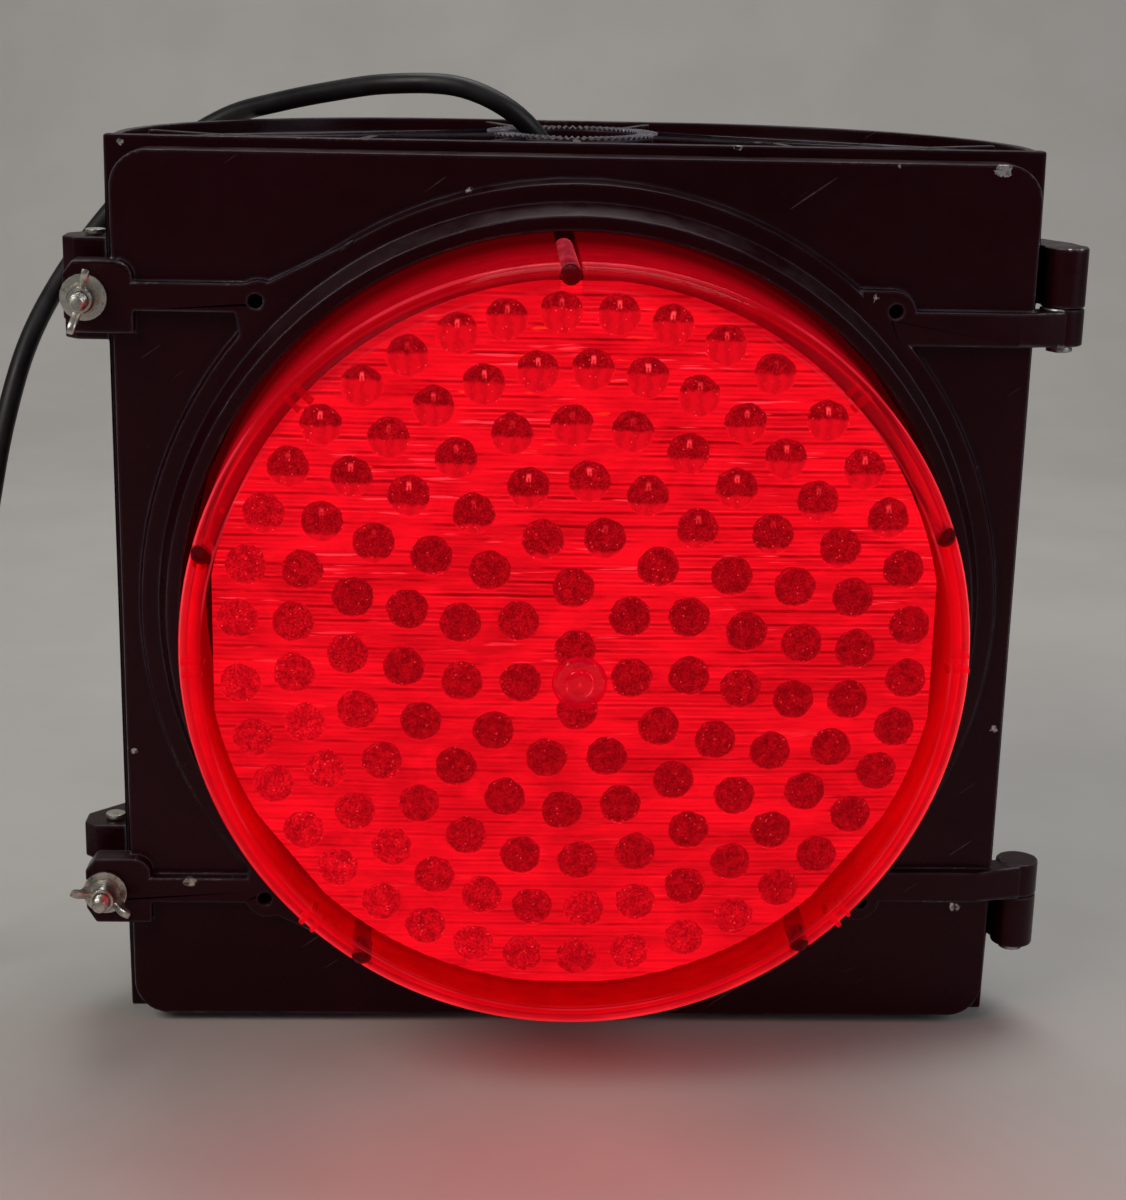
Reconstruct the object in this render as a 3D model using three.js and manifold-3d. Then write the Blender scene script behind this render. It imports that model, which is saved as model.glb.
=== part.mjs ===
// Single-section 12-inch traffic signal head: die-cast housing and hinged door,
// swing-bolt latches, red LED module, terminal wiring and a mains lead.
// Millimetres, +Z up, the lens faces -Y, and +X is the hinge side.
// The origin is the middle of the footprint, on the surface the head stands on.
import * as THREE from 'three';
import { mergeVertices } from 'three/addons/utils/BufferGeometryUtils.js';
import Module from 'manifold-3d';

const wasm = await Module();
wasm.setup();

// ---------------------------------------------------------------- driving dimensions
const BOX = 356;                 // height and width of the housing's front flange
const DEPTH = 128;               // flange face to the back wall
const RIM_Y = -9;                // flange face
const BACK_Y = RIM_Y + DEPTH;
const SKIN = 3.2;                // casting wall
const BODY_W = 351;              // housing behind its flange
const FLANGE_T = 6;
const LEDGE = 322;               // clear opening inside the gasket ledge
const TOP_RECESS = 6;            // depth of the ribbed recess in the top and bottom
const BOSS_R = 35;               // serrated ring in the top and bottom
const BOSS_HOLE_R = 26.2;
const BOSS_Y = RIM_Y + 63;
const SERRATION = 1.2;           // height that the cut teeth take at the ring's face

const AXIS_Z = 177;              // optical axis
const DOOR = 348;
const DOOR_CORNER = 14;
const DOOR_BACK = RIM_Y - 0.6;
const DOOR_FRONT = RIM_Y - 16;
const PLATEAU_FRONT = DOOR_FRONT - 5.3;
const PLATEAU_R = 167;
const RING_FRONT = PLATEAU_FRONT - 10.3;
const RING_R = 155;              // lip at its front edge
const RING_FOOT_R = 159;
const RING_BORE_R = 149.5;
const RING_BACK = RIM_Y - 8.6;
const VISOR_PCR = 170;           // radius of the four visor screw holes
const VISOR_HOLE_R = 2.7;

const GAP = 0.3;                 // air between neighbouring pieces
const LATCH_Z = [298, 60];
const LATCH_X = -183.5;          // swing bolt, at rest
const LATCH_PIVOT_Y = 0;
const BOLT_R = 3.17;             // quarter-inch thread
const BOLT_END_Y = -46.5;
const LUG_OUT = 191.6;           // door lug
const LUG_IN = -165.5;           // inner end of the lug, on the pan
const LUG_BACK = -20;
const SLOT_HALF = 3.9;           // half the width of the lug's slot
const EAR_OUT = 195.5;           // housing ears and hinge knuckles
const EAR_HALF = 4.4;            // half the slot between a pair of ears
const EAR_T = 15.1;              // thickness of an ear
const LATCH_PIN_R = 2.2;
const WASHER_R = 8.75;
const WASHER_Y = PLATEAU_FRONT - 0.6;
const NUT_SEAT_Y = WASHER_Y - 1.7;
const WING_ANGLES = [74, -23];   // of the wings, from the horizontal
const BAR_IN = -112;             // where the raised bars meet the plateau
const BARS = [[293, 303.7], [55, 65.5]];

const HINGE_X = 187;
const HINGE_Y = RIM_Y - 6;
const KNUCKLE_R = EAR_OUT - HINGE_X;
const HINGE_PIN_R = 3.3;
const PIN_COVER = 4;             // metal left over the end of a hinge pin
// [door knuckle low, door knuckle high, housing knuckle low, housing knuckle high]
const HINGES = [[283.5, 297.8, 298.2, 321], [56.4, 70.5, 34, 56]];

const LENS_R = 143.9;            // shoulder of the lens
const LENS_FOOT_R = 146.2;
const LENS_WALL = 3;
const FLANGE_R = 154.5;          // module flange
const SHOULDER_Y = -88;
const FIELD_R = 135;             // dome inside the shoulder
const FIELD_Y = -97.4;
const DOME_Y = -116.4;
const LENS_FLANGE = [-14.7, -11.7];
const SHELL_FLANGE = [-11.4, -8.4];
const POST_R = 140.2;            // circle of the five screw posts
const POST = 3.6;                // radius of a post
const POSTS = 5;
const FIRST_POST = 92.1;         // its angle in degrees, a little past the top
const SHELL_BACK = 60;
const OPTIC_Y = -72;
const OPTIC_R = 136;
const BOARD_Y = -60;
const CLIP_R = 162;
const CLIP_T = 2;
const CLIP_ANGLES = [25, 155, 205, 335];

const LEAD_R = 3.1;              // two-core lead of the module
const CORD_D = 8.2;
const COIL = { x: -338, y: -46, turnD: 94, rows: 2, lift: 1.6 };
const PLUG = { x: -293.5, y: -106, z: 14, length: 33, side: 27 };

const deg = THREE.MathUtils.degToRad;
const V3 = (x, y, z) => new THREE.Vector3(x, y, z);
const V2 = (x, y) => new THREE.Vector2(x, y);

// ---------------------------------------------------------------- finishes
const finish = (color, roughness, metalness) =>
  () => new THREE.MeshStandardMaterial({ color, roughness, metalness });
const blackPaint = finish(0x0d0d0e, 0.35, 0.3);
const zinc = finish(0xb9b6ab, 0.35, 0.9);
const steel = finish(0x8f9093, 0.3, 0.9);
const brass = finish(0xb8934a, 0.35, 0.9);
const rubber = finish(0x151515, 0.8, 0);
const redLens = finish(0xd01414, 0.2, 0);
const circuit = finish(0x1d5a32, 0.5, 0);
const blackPlastic = finish(0x1b1b1c, 0.5, 0);
const phenolic = finish(0x2a211c, 0.5, 0);
const jacket = finish(0x101010, 0.6, 0);
const whiteWire = finish(0xdcdad2, 0.5, 0);
const greenWire = finish(0x1f7a3b, 0.5, 0);
const yellowCore = finish(0xd8b23a, 0.5, 0);

// ---------------------------------------------------------------- geometry to solid and back
function bare(geometry) {
  const g = geometry.index ? geometry.toNonIndexed() : geometry.clone();
  g.deleteAttribute('normal');
  g.deleteAttribute('uv');
  return mergeVertices(g, 1e-4);
}

function signedVolume(points, triangles) {
  const corner = (i) => V3(points[3 * i], points[3 * i + 1], points[3 * i + 2]);
  let total = 0;
  for (let t = 0; t < triangles.length; t += 3) {
    const [a, b, c] = [0, 1, 2].map((k) => corner(triangles[t + k]));
    total += a.dot(b.cross(c)) / 6;
  }
  return total;
}

function solid(geometry) {
  const g = bare(geometry);
  const points = new Float32Array(g.attributes.position.array);
  const all = Array.from(g.index.array);
  const kept = [];
  for (let t = 0; t < all.length; t += 3) {
    const [a, b, c] = all.slice(t, t + 3);
    if (a !== b && b !== c && a !== c) kept.push(a, b, c);
  }
  if (signedVolume(points, kept) < 0) {
    for (let t = 0; t < kept.length; t += 3) [kept[t], kept[t + 1]] = [kept[t + 1], kept[t]];
  }
  return new wasm.Manifold(new wasm.Mesh({
    numProp: 3, vertProperties: points, triVerts: new Uint32Array(kept),
  }));
}

function meshed(body) {
  const m = body.getMesh();
  const g = new THREE.BufferGeometry();
  g.setAttribute('position', new THREE.BufferAttribute(new Float32Array(m.vertProperties), 3));
  g.setIndex(new THREE.BufferAttribute(new Uint32Array(m.triVerts), 1));
  g.computeVertexNormals();
  return g;
}

const join = (...bodies) => bodies.reduce((a, b) => a.add(b));
const cut = (body, ...tools) => tools.reduce((a, b) => a.subtract(b), body);

// ---------------------------------------------------------------- building blocks
const part = new THREE.Group();
function piece(name, body, material) {
  const mesh = new THREE.Mesh(meshed(body), material());
  mesh.name = name;
  part.add(mesh);
}

// a block given by its low and high corners
function block(x0, y0, z0, x1, y1, z1) {
  const g = new THREE.BoxGeometry(x1 - x0, y1 - y0, z1 - z0);
  return solid(g.translate((x0 + x1) / 2, (y0 + y1) / 2, (z0 + z1) / 2));
}

// an outline in X and Y raised from z0 to z1
function upright(shape, z0, z1, curveSegments = 12) {
  const g = new THREE.ExtrudeGeometry(shape, { depth: z1 - z0, bevelEnabled: false, curveSegments });
  return solid(g.translate(0, 0, z0));
}

// an outline in X and Z run from yBack forward to yFront
function facing(shape, yBack, yFront, curveSegments = 12) {
  const depth = yBack - yFront;
  const g = new THREE.ExtrudeGeometry(shape, { depth, bevelEnabled: false, curveSegments });
  return solid(g.rotateX(Math.PI / 2).translate(0, yBack, 0));
}

// a [radius, y] profile turned about the Y direction through (x, z)
function turned(profile, x, z, segments = 48) {
  const g = new THREE.LatheGeometry(profile.map(([r, y]) => V2(r, y)), segments);
  return solid(g.translate(x, 0, z));
}

function rodY(r, y0, y1, x, z, segments = 16) {
  const g = new THREE.CylinderGeometry(r, r, y1 - y0, segments);
  return solid(g.translate(x, (y0 + y1) / 2, z));
}

function rodZ(r, z0, z1, x, y, segments = 20) {
  const g = new THREE.CylinderGeometry(r, r, z1 - z0, segments).rotateX(Math.PI / 2);
  return solid(g.translate(x, y, (z0 + z1) / 2));
}

function polygon(points) {
  return new THREE.Shape(points.map(([x, y]) => V2(x, y)));
}

function roundedSquare(side, corner, cx, cy) {
  const h = side / 2;
  const s = new THREE.Shape();
  s.moveTo(cx - h + corner, cy - h);
  [[1, -1, -90], [1, 1, 0], [-1, 1, 90], [-1, -1, 180]].forEach(([sx, sy, start]) => {
    s.absarc(cx + sx * (h - corner), cy + sy * (h - corner), corner, deg(start), deg(start + 90));
  });
  return s;
}

// a tube of one radius along a smooth curve through points
function tube(points, radius, sides, steps) {
  const curve = new THREE.CatmullRomCurve3(points.map((p) => V3(...p)), false, 'centripetal');
  const ring = new THREE.Shape();
  for (let i = 0; i < sides; i += 1) {
    const a = (2 * Math.PI * i) / sides;
    ring[i ? 'lineTo' : 'moveTo'](radius * Math.cos(a), radius * Math.sin(a));
  }
  return solid(new THREE.ExtrudeGeometry(ring, { steps, extrudePath: curve, bevelEnabled: false }));
}

const polar = (angle, r) => [r * Math.cos(deg(angle)), AXIS_Z + r * Math.sin(deg(angle))];

// ---------------------------------------------------------------- housing
// plan of the housing: straight sides that curve round to a flat back
function housingPlan(inset) {
  const w = BODY_W / 2 - inset;
  const b = BACK_Y - inset;
  const s = new THREE.Shape();
  s.moveTo(-w, RIM_Y);
  s.lineTo(w, RIM_Y);
  s.lineTo(w, 8);
  s.bezierCurveTo(w - 2, 58, 122 - inset, b, 50, b);
  s.lineTo(-50, b);
  s.bezierCurveTo(-122 + inset, b, -w + 2, 58, -w, 8);
  s.closePath();
  return s;
}

// stiffening ribs of the top, as [x, y] pairs from end to end
const RIBS = [
  [[-30, 66], [-112, 26], [-137, 14]], [[-30, 40], [-118, 8], [-137, 14]],
  [[-137, 14], [-150, -3]], [[-137, 14], [-166, 30]],
  [[30, 66], [112, 26], [137, 14]], [[30, 40], [118, 8], [137, 14]],
  [[137, 14], [150, -3]], [[137, 14], [166, 30]],
  [[0, 22], [0, -5]], [[-20, 84], [-34, 114]], [[20, 84], [34, 114]],
  [[-20, 26], [-40, -5]], [[84, -4], [78, 20]], [[-84, -4], [-78, 20]],
];

function rib([x0, y0], [x1, y1], z0, z1) {
  const along = V2(x1 - x0, y1 - y0);
  const length = along.length();
  const g = new THREE.BoxGeometry(length, 3, z1 - z0);
  g.rotateZ(Math.atan2(along.y, along.x));
  return solid(g.translate((x0 + x1) / 2, (y0 + y1) / 2, (z0 + z1) / 2));
}

// bore for a hinge pin, blind in whichever knuckle is on top
function pinBore(low, high) {
  const onTop = HINGES.some(([a, doorHigh, b, housingHigh]) => high === Math.max(doorHigh, housingHigh));
  return rodZ(HINGE_PIN_R + GAP, low - 1, onTop ? high - PIN_COVER : high + 1, HINGE_X, HINGE_Y);
}

function housing() {
  const skinTop = BOX - TOP_RECESS - SKIN;
  const skinBottom = TOP_RECESS + SKIN;
  let body = upright(housingPlan(0), 0, BOX, 12);
  body = join(body, block(-BOX / 2, RIM_Y, 0, BOX / 2, RIM_Y + FLANGE_T, BOX));
  const inside = upright(housingPlan(SKIN), skinBottom, skinTop, 12);
  const half = LEDGE / 2;
  const mouth = block(-half, RIM_Y - 1, AXIS_Z - half, half, 20, AXIS_Z + half);
  const hollow = join(inside.subtract(block(-200, -60, 0, 200, RIM_Y + 4, BOX)), mouth);
  body = cut(
    body, hollow,
    upright(housingPlan(SKIN), BOX - TOP_RECESS, BOX + 1, 12).subtract(
      block(-200, -60, 0, 200, RIM_Y + 4, BOX + 2)),
    upright(housingPlan(SKIN), -1, TOP_RECESS, 12).subtract(
      block(-200, -60, -2, 200, RIM_Y + 4, BOX)),
  );
  // serrated rings and ribs, the same in the top and the bottom
  const face = BOX - SERRATION;
  const ends = [[skinTop + 0.5, face, BOX - TOP_RECESS - 0.5, BOX - 0.8],
    [SERRATION, skinBottom - 0.5, 0.8, TOP_RECESS + 0.5]];
  ends.forEach(([z0, z1, ribLow, ribHigh]) => {
    body = join(body, rodZ(BOSS_R, z0, z1, 0, BOSS_Y, 48));
    RIBS.forEach((line) => {
      for (let i = 1; i < line.length; i += 1) {
        body = join(body, rib(line[i - 1], line[i], ribLow, ribHigh));
      }
    });
  });
  body = cut(body, rodZ(BOSS_HOLE_R, -1, BOX + 1, 0, BOSS_Y, 48));
  // ears that carry the swing bolts
  LATCH_Z.forEach((z) => {
    [z + EAR_HALF, z - EAR_HALF - EAR_T].forEach((low) => {
      const ear = polygon([[-BODY_W / 2 + 1, -8.7], [-EAR_OUT + 5, -8.7], [-EAR_OUT, -4],
        [-EAR_OUT, 5], [-EAR_OUT + 4, 9], [-BODY_W / 2 + 1, 26]]);
      body = join(body, upright(ear, low, low + EAR_T));
    });
    body = cut(body, rodZ(LATCH_PIN_R + GAP, z - 30, z + 30, LATCH_X, LATCH_PIVOT_Y));
  });
  // hinge knuckles on the other side
  HINGES.forEach(([, , low, high]) => {
    const arm = polygon([[BODY_W / 2 - 1, -8.6], [178.2, -8.8], [179.2, -12], [HINGE_X, HINGE_Y],
      [EAR_OUT - 0.4, HINGE_Y + 2], [EAR_OUT - 3, -2], [180, 18], [BODY_W / 2 - 1, 24]]);
    body = join(body, upright(arm, low, high), rodZ(KNUCKLE_R, low, high, HINGE_X, HINGE_Y, 32));
    body = cut(body, pinBore(low, high));
  });
  // bosses on the back wall for the terminal block, the cable clamp and the earth screw
  [...BLOCK_SCREWS, CLAMP_SCREW, EARTH_SCREW].forEach(([x, z]) => {
    body = join(body, rodY(5.5, 106, BACK_Y - 2.5, x, z));
    body = cut(body, rodY(2.1, 105, 115, x, z));
  });
  return body;
}

// ---------------------------------------------------------------- wiring in the housing
const BLOCK = { x: 26, z: 150, w: 78, h: 26, back: 105.7, front: 88 };
const BLOCK_SCREWS = [[BLOCK.x - 34, BLOCK.z], [BLOCK.x + 34, BLOCK.z]];
const CLAMP_SCREW = [-36, 262];
const EARTH_SCREW = [-48, 120];
const WAYS = [-18, 0, 18].map((dx) => BLOCK.x + dx);

function terminalBlock() {
  const { x, z, w, h, back, front } = BLOCK;
  let body = block(x - w / 2, front + 7, z - h / 2, x + w / 2, back, z + h / 2);
  [-27, -9, 9, 27].forEach((dx) => {
    body = join(body, block(x + dx - 1, front, z - h / 2, x + dx + 1, front + 8, z + h / 2));
  });
  BLOCK_SCREWS.forEach(([sx, sz]) => {
    body = cut(body, rodY(2.6, front, back + 1, sx, sz, 10));
  });
  WAYS.forEach((wx) => {
    [-7, 7].forEach((dz) => {
      body = cut(body, rodY(2.3, front + 6, back - 4, wx, z + dz, 8));
    });
  });
  return body;
}

// a screw along Y whose head faces the front
function screw(x, z, headFace, headR, headH, shankR, tipY) {
  const top = headFace - headH;
  return join(
    turned([[0, top], [headR * 0.7, top], [headR, top + headH * 0.6], [headR, headFace],
      [0, headFace]], x, z, 12),
    rodY(shankR, headFace - 0.1, tipY, x, z, 6),
  );
}

function wiring() {
  piece('terminal_block', terminalBlock(), phenolic);
  BLOCK_SCREWS.forEach(([x, z], i) => {
    piece(`terminal_block_screw_${i + 1}`, screw(x, z, BLOCK.front + 6.7, 3.8, 2.2, 1.8, 113), zinc);
  });
  WAYS.forEach((x, i) => {
    [-7, 7].forEach((dz, k) => {
      piece(`terminal_screw_${2 * i + k + 1}`,
        screw(x, BLOCK.z + dz, BLOCK.front + 6.7, 3.2, 1.8, 1.9, BLOCK.back - 5), brass);
    });
  });
  // saddle clamp that grips the lead under the top opening
  const [cx, cz] = CLAMP_SCREW;
  const saddle = cut(
    join(block(cx - 8, 103.7, cz - 6, cx + 8, 105.7, cz + 6),
      block(cx + 8, 90, cz - 6, cx + 26, 105.7, cz + 6)),
    rodZ(CORD_D / 2 + GAP, cz - 7, cz + 7, cx + 17, 97.6, 20),
    rodY(2.5, 100, 107, cx, cz, 16),
  );
  piece('cable_clamp', saddle, zinc);
  piece('cable_clamp_screw', screw(cx, cz, 103.4, 3.8, 2.2, 1.8, 113), zinc);
  piece('earth_screw', screw(...EARTH_SCREW, 105.4, 4.2, 2.4, 1.8, 113), zinc);
  // jacket ends below the clamp, then three cores run to their screws
  const jx = cx + 17;
  const inner = [[jx, 97.6, 268.5], [jx, 97.6, 254], [jx + 0.4, 97.6, 240], [jx + 1, 97.4, 224]];
  piece('cord_inner_end', tube(inner, CORD_D / 2, 10, 5), jacket);
  const core = (name, dx, dy, rest, material) => {
    const start = [jx + 1 + dx, 97.4 + dy, 223.6];
    piece(name, tube([start, [start[0] + dx, start[1] + dy, 212], ...rest], 1.2, 6, 14), material);
  };
  core('wire_line', 1.8, 0, [[-8, 94, 196], [4, 86, 178], [WAYS[0], 82.5, 160]], whiteWire);
  core('wire_neutral', -0.6, -1.9, [[-12, 90, 198], [6, 82, 188], [WAYS[1] - 4, 79, 174],
    [WAYS[1], 82.5, 160]], yellowCore);
  core('wire_earth', -1.8, 1.2, [[-28, 98, 190], [-44, 100, 150], [EARTH_SCREW[0], 99, 127]],
    greenWire);
}

// ---------------------------------------------------------------- door
function doorArm([low, high]) {
  // carries the knuckle beyond the door's edge, in front of the pan
  return upright(polygon([[118, DOOR_FRONT + 1], [118, PLATEAU_FRONT], [168, PLATEAU_FRONT],
    [HINGE_X, HINGE_Y - KNUCKLE_R + 0.3], [HINGE_X, HINGE_Y], [DOOR / 2 - 1, HINGE_Y],
    [DOOR / 2 - 1, DOOR_FRONT + 1]]), low, high);
}

function door() {
  const square = (side, corner) => roundedSquare(side, corner, 0, AXIS_Z + 1);
  let body = facing(square(DOOR, DOOR_CORNER), DOOR_BACK, DOOR_FRONT, 6);
  body = cut(body, facing(square(DOOR - 2 * SKIN - 1, DOOR_CORNER - SKIN), DOOR_BACK + 1,
    DOOR_FRONT + 3.6, 6));
  // plateau and visor ring are one turned shape
  const ring = turned([
    [RING_BORE_R, RING_BACK], [RING_BORE_R, RING_FRONT], [RING_R, RING_FRONT],
    [RING_FOOT_R, PLATEAU_FRONT], [PLATEAU_R - 1.2, PLATEAU_FRONT], [PLATEAU_R + 0.5, DOOR_FRONT + 1.5],
    [RING_FOOT_R - 2, DOOR_FRONT + 1.5], [RING_FOOT_R - 3, RING_BACK], [RING_BORE_R, RING_BACK],
  ], 0, AXIS_Z, 96);
  body = join(body.subtract(rodY(RING_FOOT_R - 3, -60, 20, 0, AXIS_Z, 96)), ring);
  // raised bars that run out to the latches, with their slotted lugs
  BARS.forEach(([z0, z1]) => {
    body = join(body, block(-LUG_OUT, PLATEAU_FRONT, z0, BAR_IN, DOOR_FRONT + 2, z1));
  });
  LATCH_Z.forEach((z) => {
    const edge = -DOOR / 2 + 3;
    const lug = polygon([[-LUG_OUT, z - 8], [-LUG_OUT + 4, z - 13.5], [edge, z - 13.5],
      [edge, z + 13.5], [-LUG_OUT + 4, z + 13.5], [-LUG_OUT, z + 8]]);
    const root = new THREE.Shape();
    root.moveTo(edge - 1, z - 13.5);
    root.lineTo(LUG_IN, z - 13.5);
    root.absarc(LUG_IN - 6, z + 7.5, 6, 0, Math.PI / 2);
    root.lineTo(edge - 1, z + 13.5);
    body = join(body, facing(lug, LUG_BACK, PLATEAU_FRONT),
      facing(root, DOOR_FRONT + 2, PLATEAU_FRONT, 4));
    const slot = join(
      rodY(SLOT_HALF, -60, 0, LATCH_X, z, 20),
      block(-220, -60, z - SLOT_HALF, LATCH_X, 0, z + SLOT_HALF),
    );
    // the lug's outer edge is eased, so that the washer swings clear of it
    const easing = upright(polygon([[-LUG_OUT - 1, PLATEAU_FRONT + 1.8], [-LUG_OUT + 4, PLATEAU_FRONT],
      [-LUG_OUT + 4, PLATEAU_FRONT - 2], [-LUG_OUT - 1, PLATEAU_FRONT - 2]]), z - 15, z + 15);
    body = cut(body, slot, easing);
  });
  // hinge arms and knuckles
  HINGES.forEach(([low, high]) => {
    body = join(body, doorArm([low + 0.6, high - 0.6]),
      rodZ(KNUCKLE_R, low, high, HINGE_X, HINGE_Y, 32));
    body = cut(body, pinBore(low, high));
  });
  // gussets that carry the left bars into the plateau, and pads beside the right screw bosses
  [1, -1].forEach((side) => {
    const at = (x, up) => [x, AXIS_Z + side * up];
    const outlines = [
      [at(-128, side > 0 ? 126.7 : 122), at(-116.5, 126.7), at(-84.9, 142.6), at(-96, 129), at(-112, 113),
        at(-126, 106), at(-128, 116)],
      [at(106.4, 128.2), at(119, 128.1), at(119, 118), at(108, 114)],
    ];
    outlines.forEach((outline) => {
      body = join(body, facing(polygon(outline), DOOR_FRONT + 2, PLATEAU_FRONT));
    });
  });
  [45, 135, 225, 315].forEach((angle) => {
    body = join(body, rodY(9, PLATEAU_FRONT, DOOR_FRONT + 2, ...polar(angle, VISOR_PCR - 1.5), 24));
    body = cut(body, rodY(VISOR_HOLE_R, -60, 0, ...polar(angle, VISOR_PCR), 20));
  });
  // posts behind the pan for the module clips
  CLIP_ANGLES.forEach((angle) => {
    const [x, z] = polar(angle, CLIP_R);
    body = join(body, rodY(5, DOOR_FRONT + 2, SHELL_FLANGE[1], x, z));
    body = cut(body, rodY(2.5, -22, 0, x, z, 16));
  });
  return body;
}

function doorGasket() {
  const outer = roundedSquare(339, 9, 0, AXIS_Z + 1);
  outer.holes.push(roundedSquare(325, 5, 0, AXIS_Z + 1));
  const clear = CLIP_ANGLES.map((angle) => rodY(5.6, -40, 0, ...polar(angle, CLIP_R)));
  return cut(facing(outer, RIM_Y - GAP, DOOR_FRONT + 3.6 + GAP, 5), ...clear,
    rodY(RING_FOOT_R - 2.4, -60, 20, 0, AXIS_Z, 48));
}

// ---------------------------------------------------------------- LED module
function domeLine(y0, offset) {
  // a shallow spherical cap from the axis out to the edge of the optical field
  const sag = FIELD_Y - DOME_Y;
  const radius = (FIELD_R ** 2 + sag ** 2) / (2 * sag);
  const points = [];
  for (let r = 0; r <= FIELD_R; r += FIELD_R / 5) {
    points.push([r, y0 + offset + radius - Math.sqrt(radius ** 2 - r ** 2)]);
  }
  return points;
}

function outerLens() {
  const shoulder = (r, y, inset) => {
    const points = [];
    for (let i = 1; i <= 3; i += 1) {
      const a = deg(90 - 30 * i);
      const reach = LENS_R - FIELD_R - inset;
      const drop = (SHOULDER_Y - FIELD_Y - inset) * (1 - Math.sin(a));
      points.push([r + reach * Math.cos(a), y + drop]);
    }
    return points;
  };
  const inner = [...domeLine(DOME_Y, LENS_WALL),
    ...shoulder(FIELD_R, FIELD_Y + LENS_WALL, LENS_WALL), [LENS_FOOT_R - LENS_WALL, LENS_FLANGE[1]]];
  const outer = [...domeLine(DOME_Y, 0), ...shoulder(FIELD_R, FIELD_Y, 0),
    [LENS_FOOT_R, LENS_FLANGE[0] - 1], [LENS_FOOT_R, LENS_FLANGE[0]], [FLANGE_R, LENS_FLANGE[0]],
    [FLANGE_R, LENS_FLANGE[1]]];
  let body = turned([...inner, ...outer.reverse()], 0, AXIS_Z, 40);
  for (let i = 0; i < POSTS; i += 1) {
    const [x, z] = polar(FIRST_POST + (360 / POSTS) * i, POST_R);
    body = join(body, rodY(POST, SHOULDER_Y + 2, LENS_FLANGE[0] + 1, x, z, 8));
    body = cut(body, rodY(1.9, -24, LENS_FLANGE[1] + 1, x, z, 8));
  }
  // moulding gate left in the middle of the dome
  const gate = turned([[0, DOME_Y - 2.6], [4.6, DOME_Y - 2.6], [5.4, DOME_Y - 2], [5.4, DOME_Y - 0.9],
    [8.2, DOME_Y - 0.9], [9.2, DOME_Y + 1], [0, DOME_Y + 1]], 0, AXIS_Z, 16);
  return join(body, gate);
}

function moduleShell() {
  const t = 2.5;
  let body = turned([
    [0, SHELL_BACK - t], [52, SHELL_BACK - t], [66, 48], [114, 18], [134, SHELL_FLANGE[0]],
    [FLANGE_R, SHELL_FLANGE[0]], [FLANGE_R, SHELL_FLANGE[1]], [136.8, SHELL_FLANGE[1]],
    [116.5, 20], [68, 50.3], [54, SHELL_BACK], [0, SHELL_BACK],
  ], 0, AXIS_Z, 32);
  // standoffs for the LED board in front and the driver board behind
  [30, 150, 270].forEach((angle) => {
    body = join(body, rodY(4, BOARD_Y + 1.6 + GAP, 30, ...polar(angle, 96), 8));
  });
  [[-42, -22], [42, 22]].forEach(([x, dz]) => {
    body = join(body, rodY(3, 40 + 1.6 + GAP, SHELL_BACK - 1, x, AXIS_Z + dz, 8));
  });
  body = cut(body, rodY(4.2, 50, 70, 22, AXIS_Z, 20));
  for (let i = 0; i < POSTS; i += 1) {
    body = cut(body, rodY(1.9, -20, 0, ...polar(FIRST_POST + (360 / POSTS) * i, POST_R), 8));
  }
  return body;
}

function innerOptic() {
  let body = turned([[0, OPTIC_Y - 4], [60, OPTIC_Y - 2.6], [OPTIC_R, OPTIC_Y],
    [OPTIC_R, OPTIC_Y + 2.4], [60, OPTIC_Y - 0.2], [0, OPTIC_Y - 1.6]], 0, AXIS_Z, 36);
  [90, 210, 330].forEach((angle) => {
    body = join(body, rodY(3, OPTIC_Y, BOARD_Y - GAP, ...polar(angle, 128), 8));
  });
  return body;
}

// two-core lead: a stretch on the door as far as the hinge side, and one in the housing
function moduleLead() {
  const onDoor = [[22, 50, AXIS_Z], [22, 60, AXIS_Z], [27, 68, AXIS_Z], [44, 69, 176], [82, 60, 170],
    [118, 40, 160], [142, 21, 150], [153, 8, 137], [155, 4.6, 124]];
  const inHousing = [[157.5, 10, 112], [158, 30, 112], [148, 55, 122], [127, 75, 136], [100, 89, 147],
    [67, 93, 151]];
  piece('module_lead', tube(onDoor, LEAD_R, 8, 20), jacket);
  piece('module_lead_tail', tube(inHousing, LEAD_R, 8, 16), jacket);
}

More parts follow.
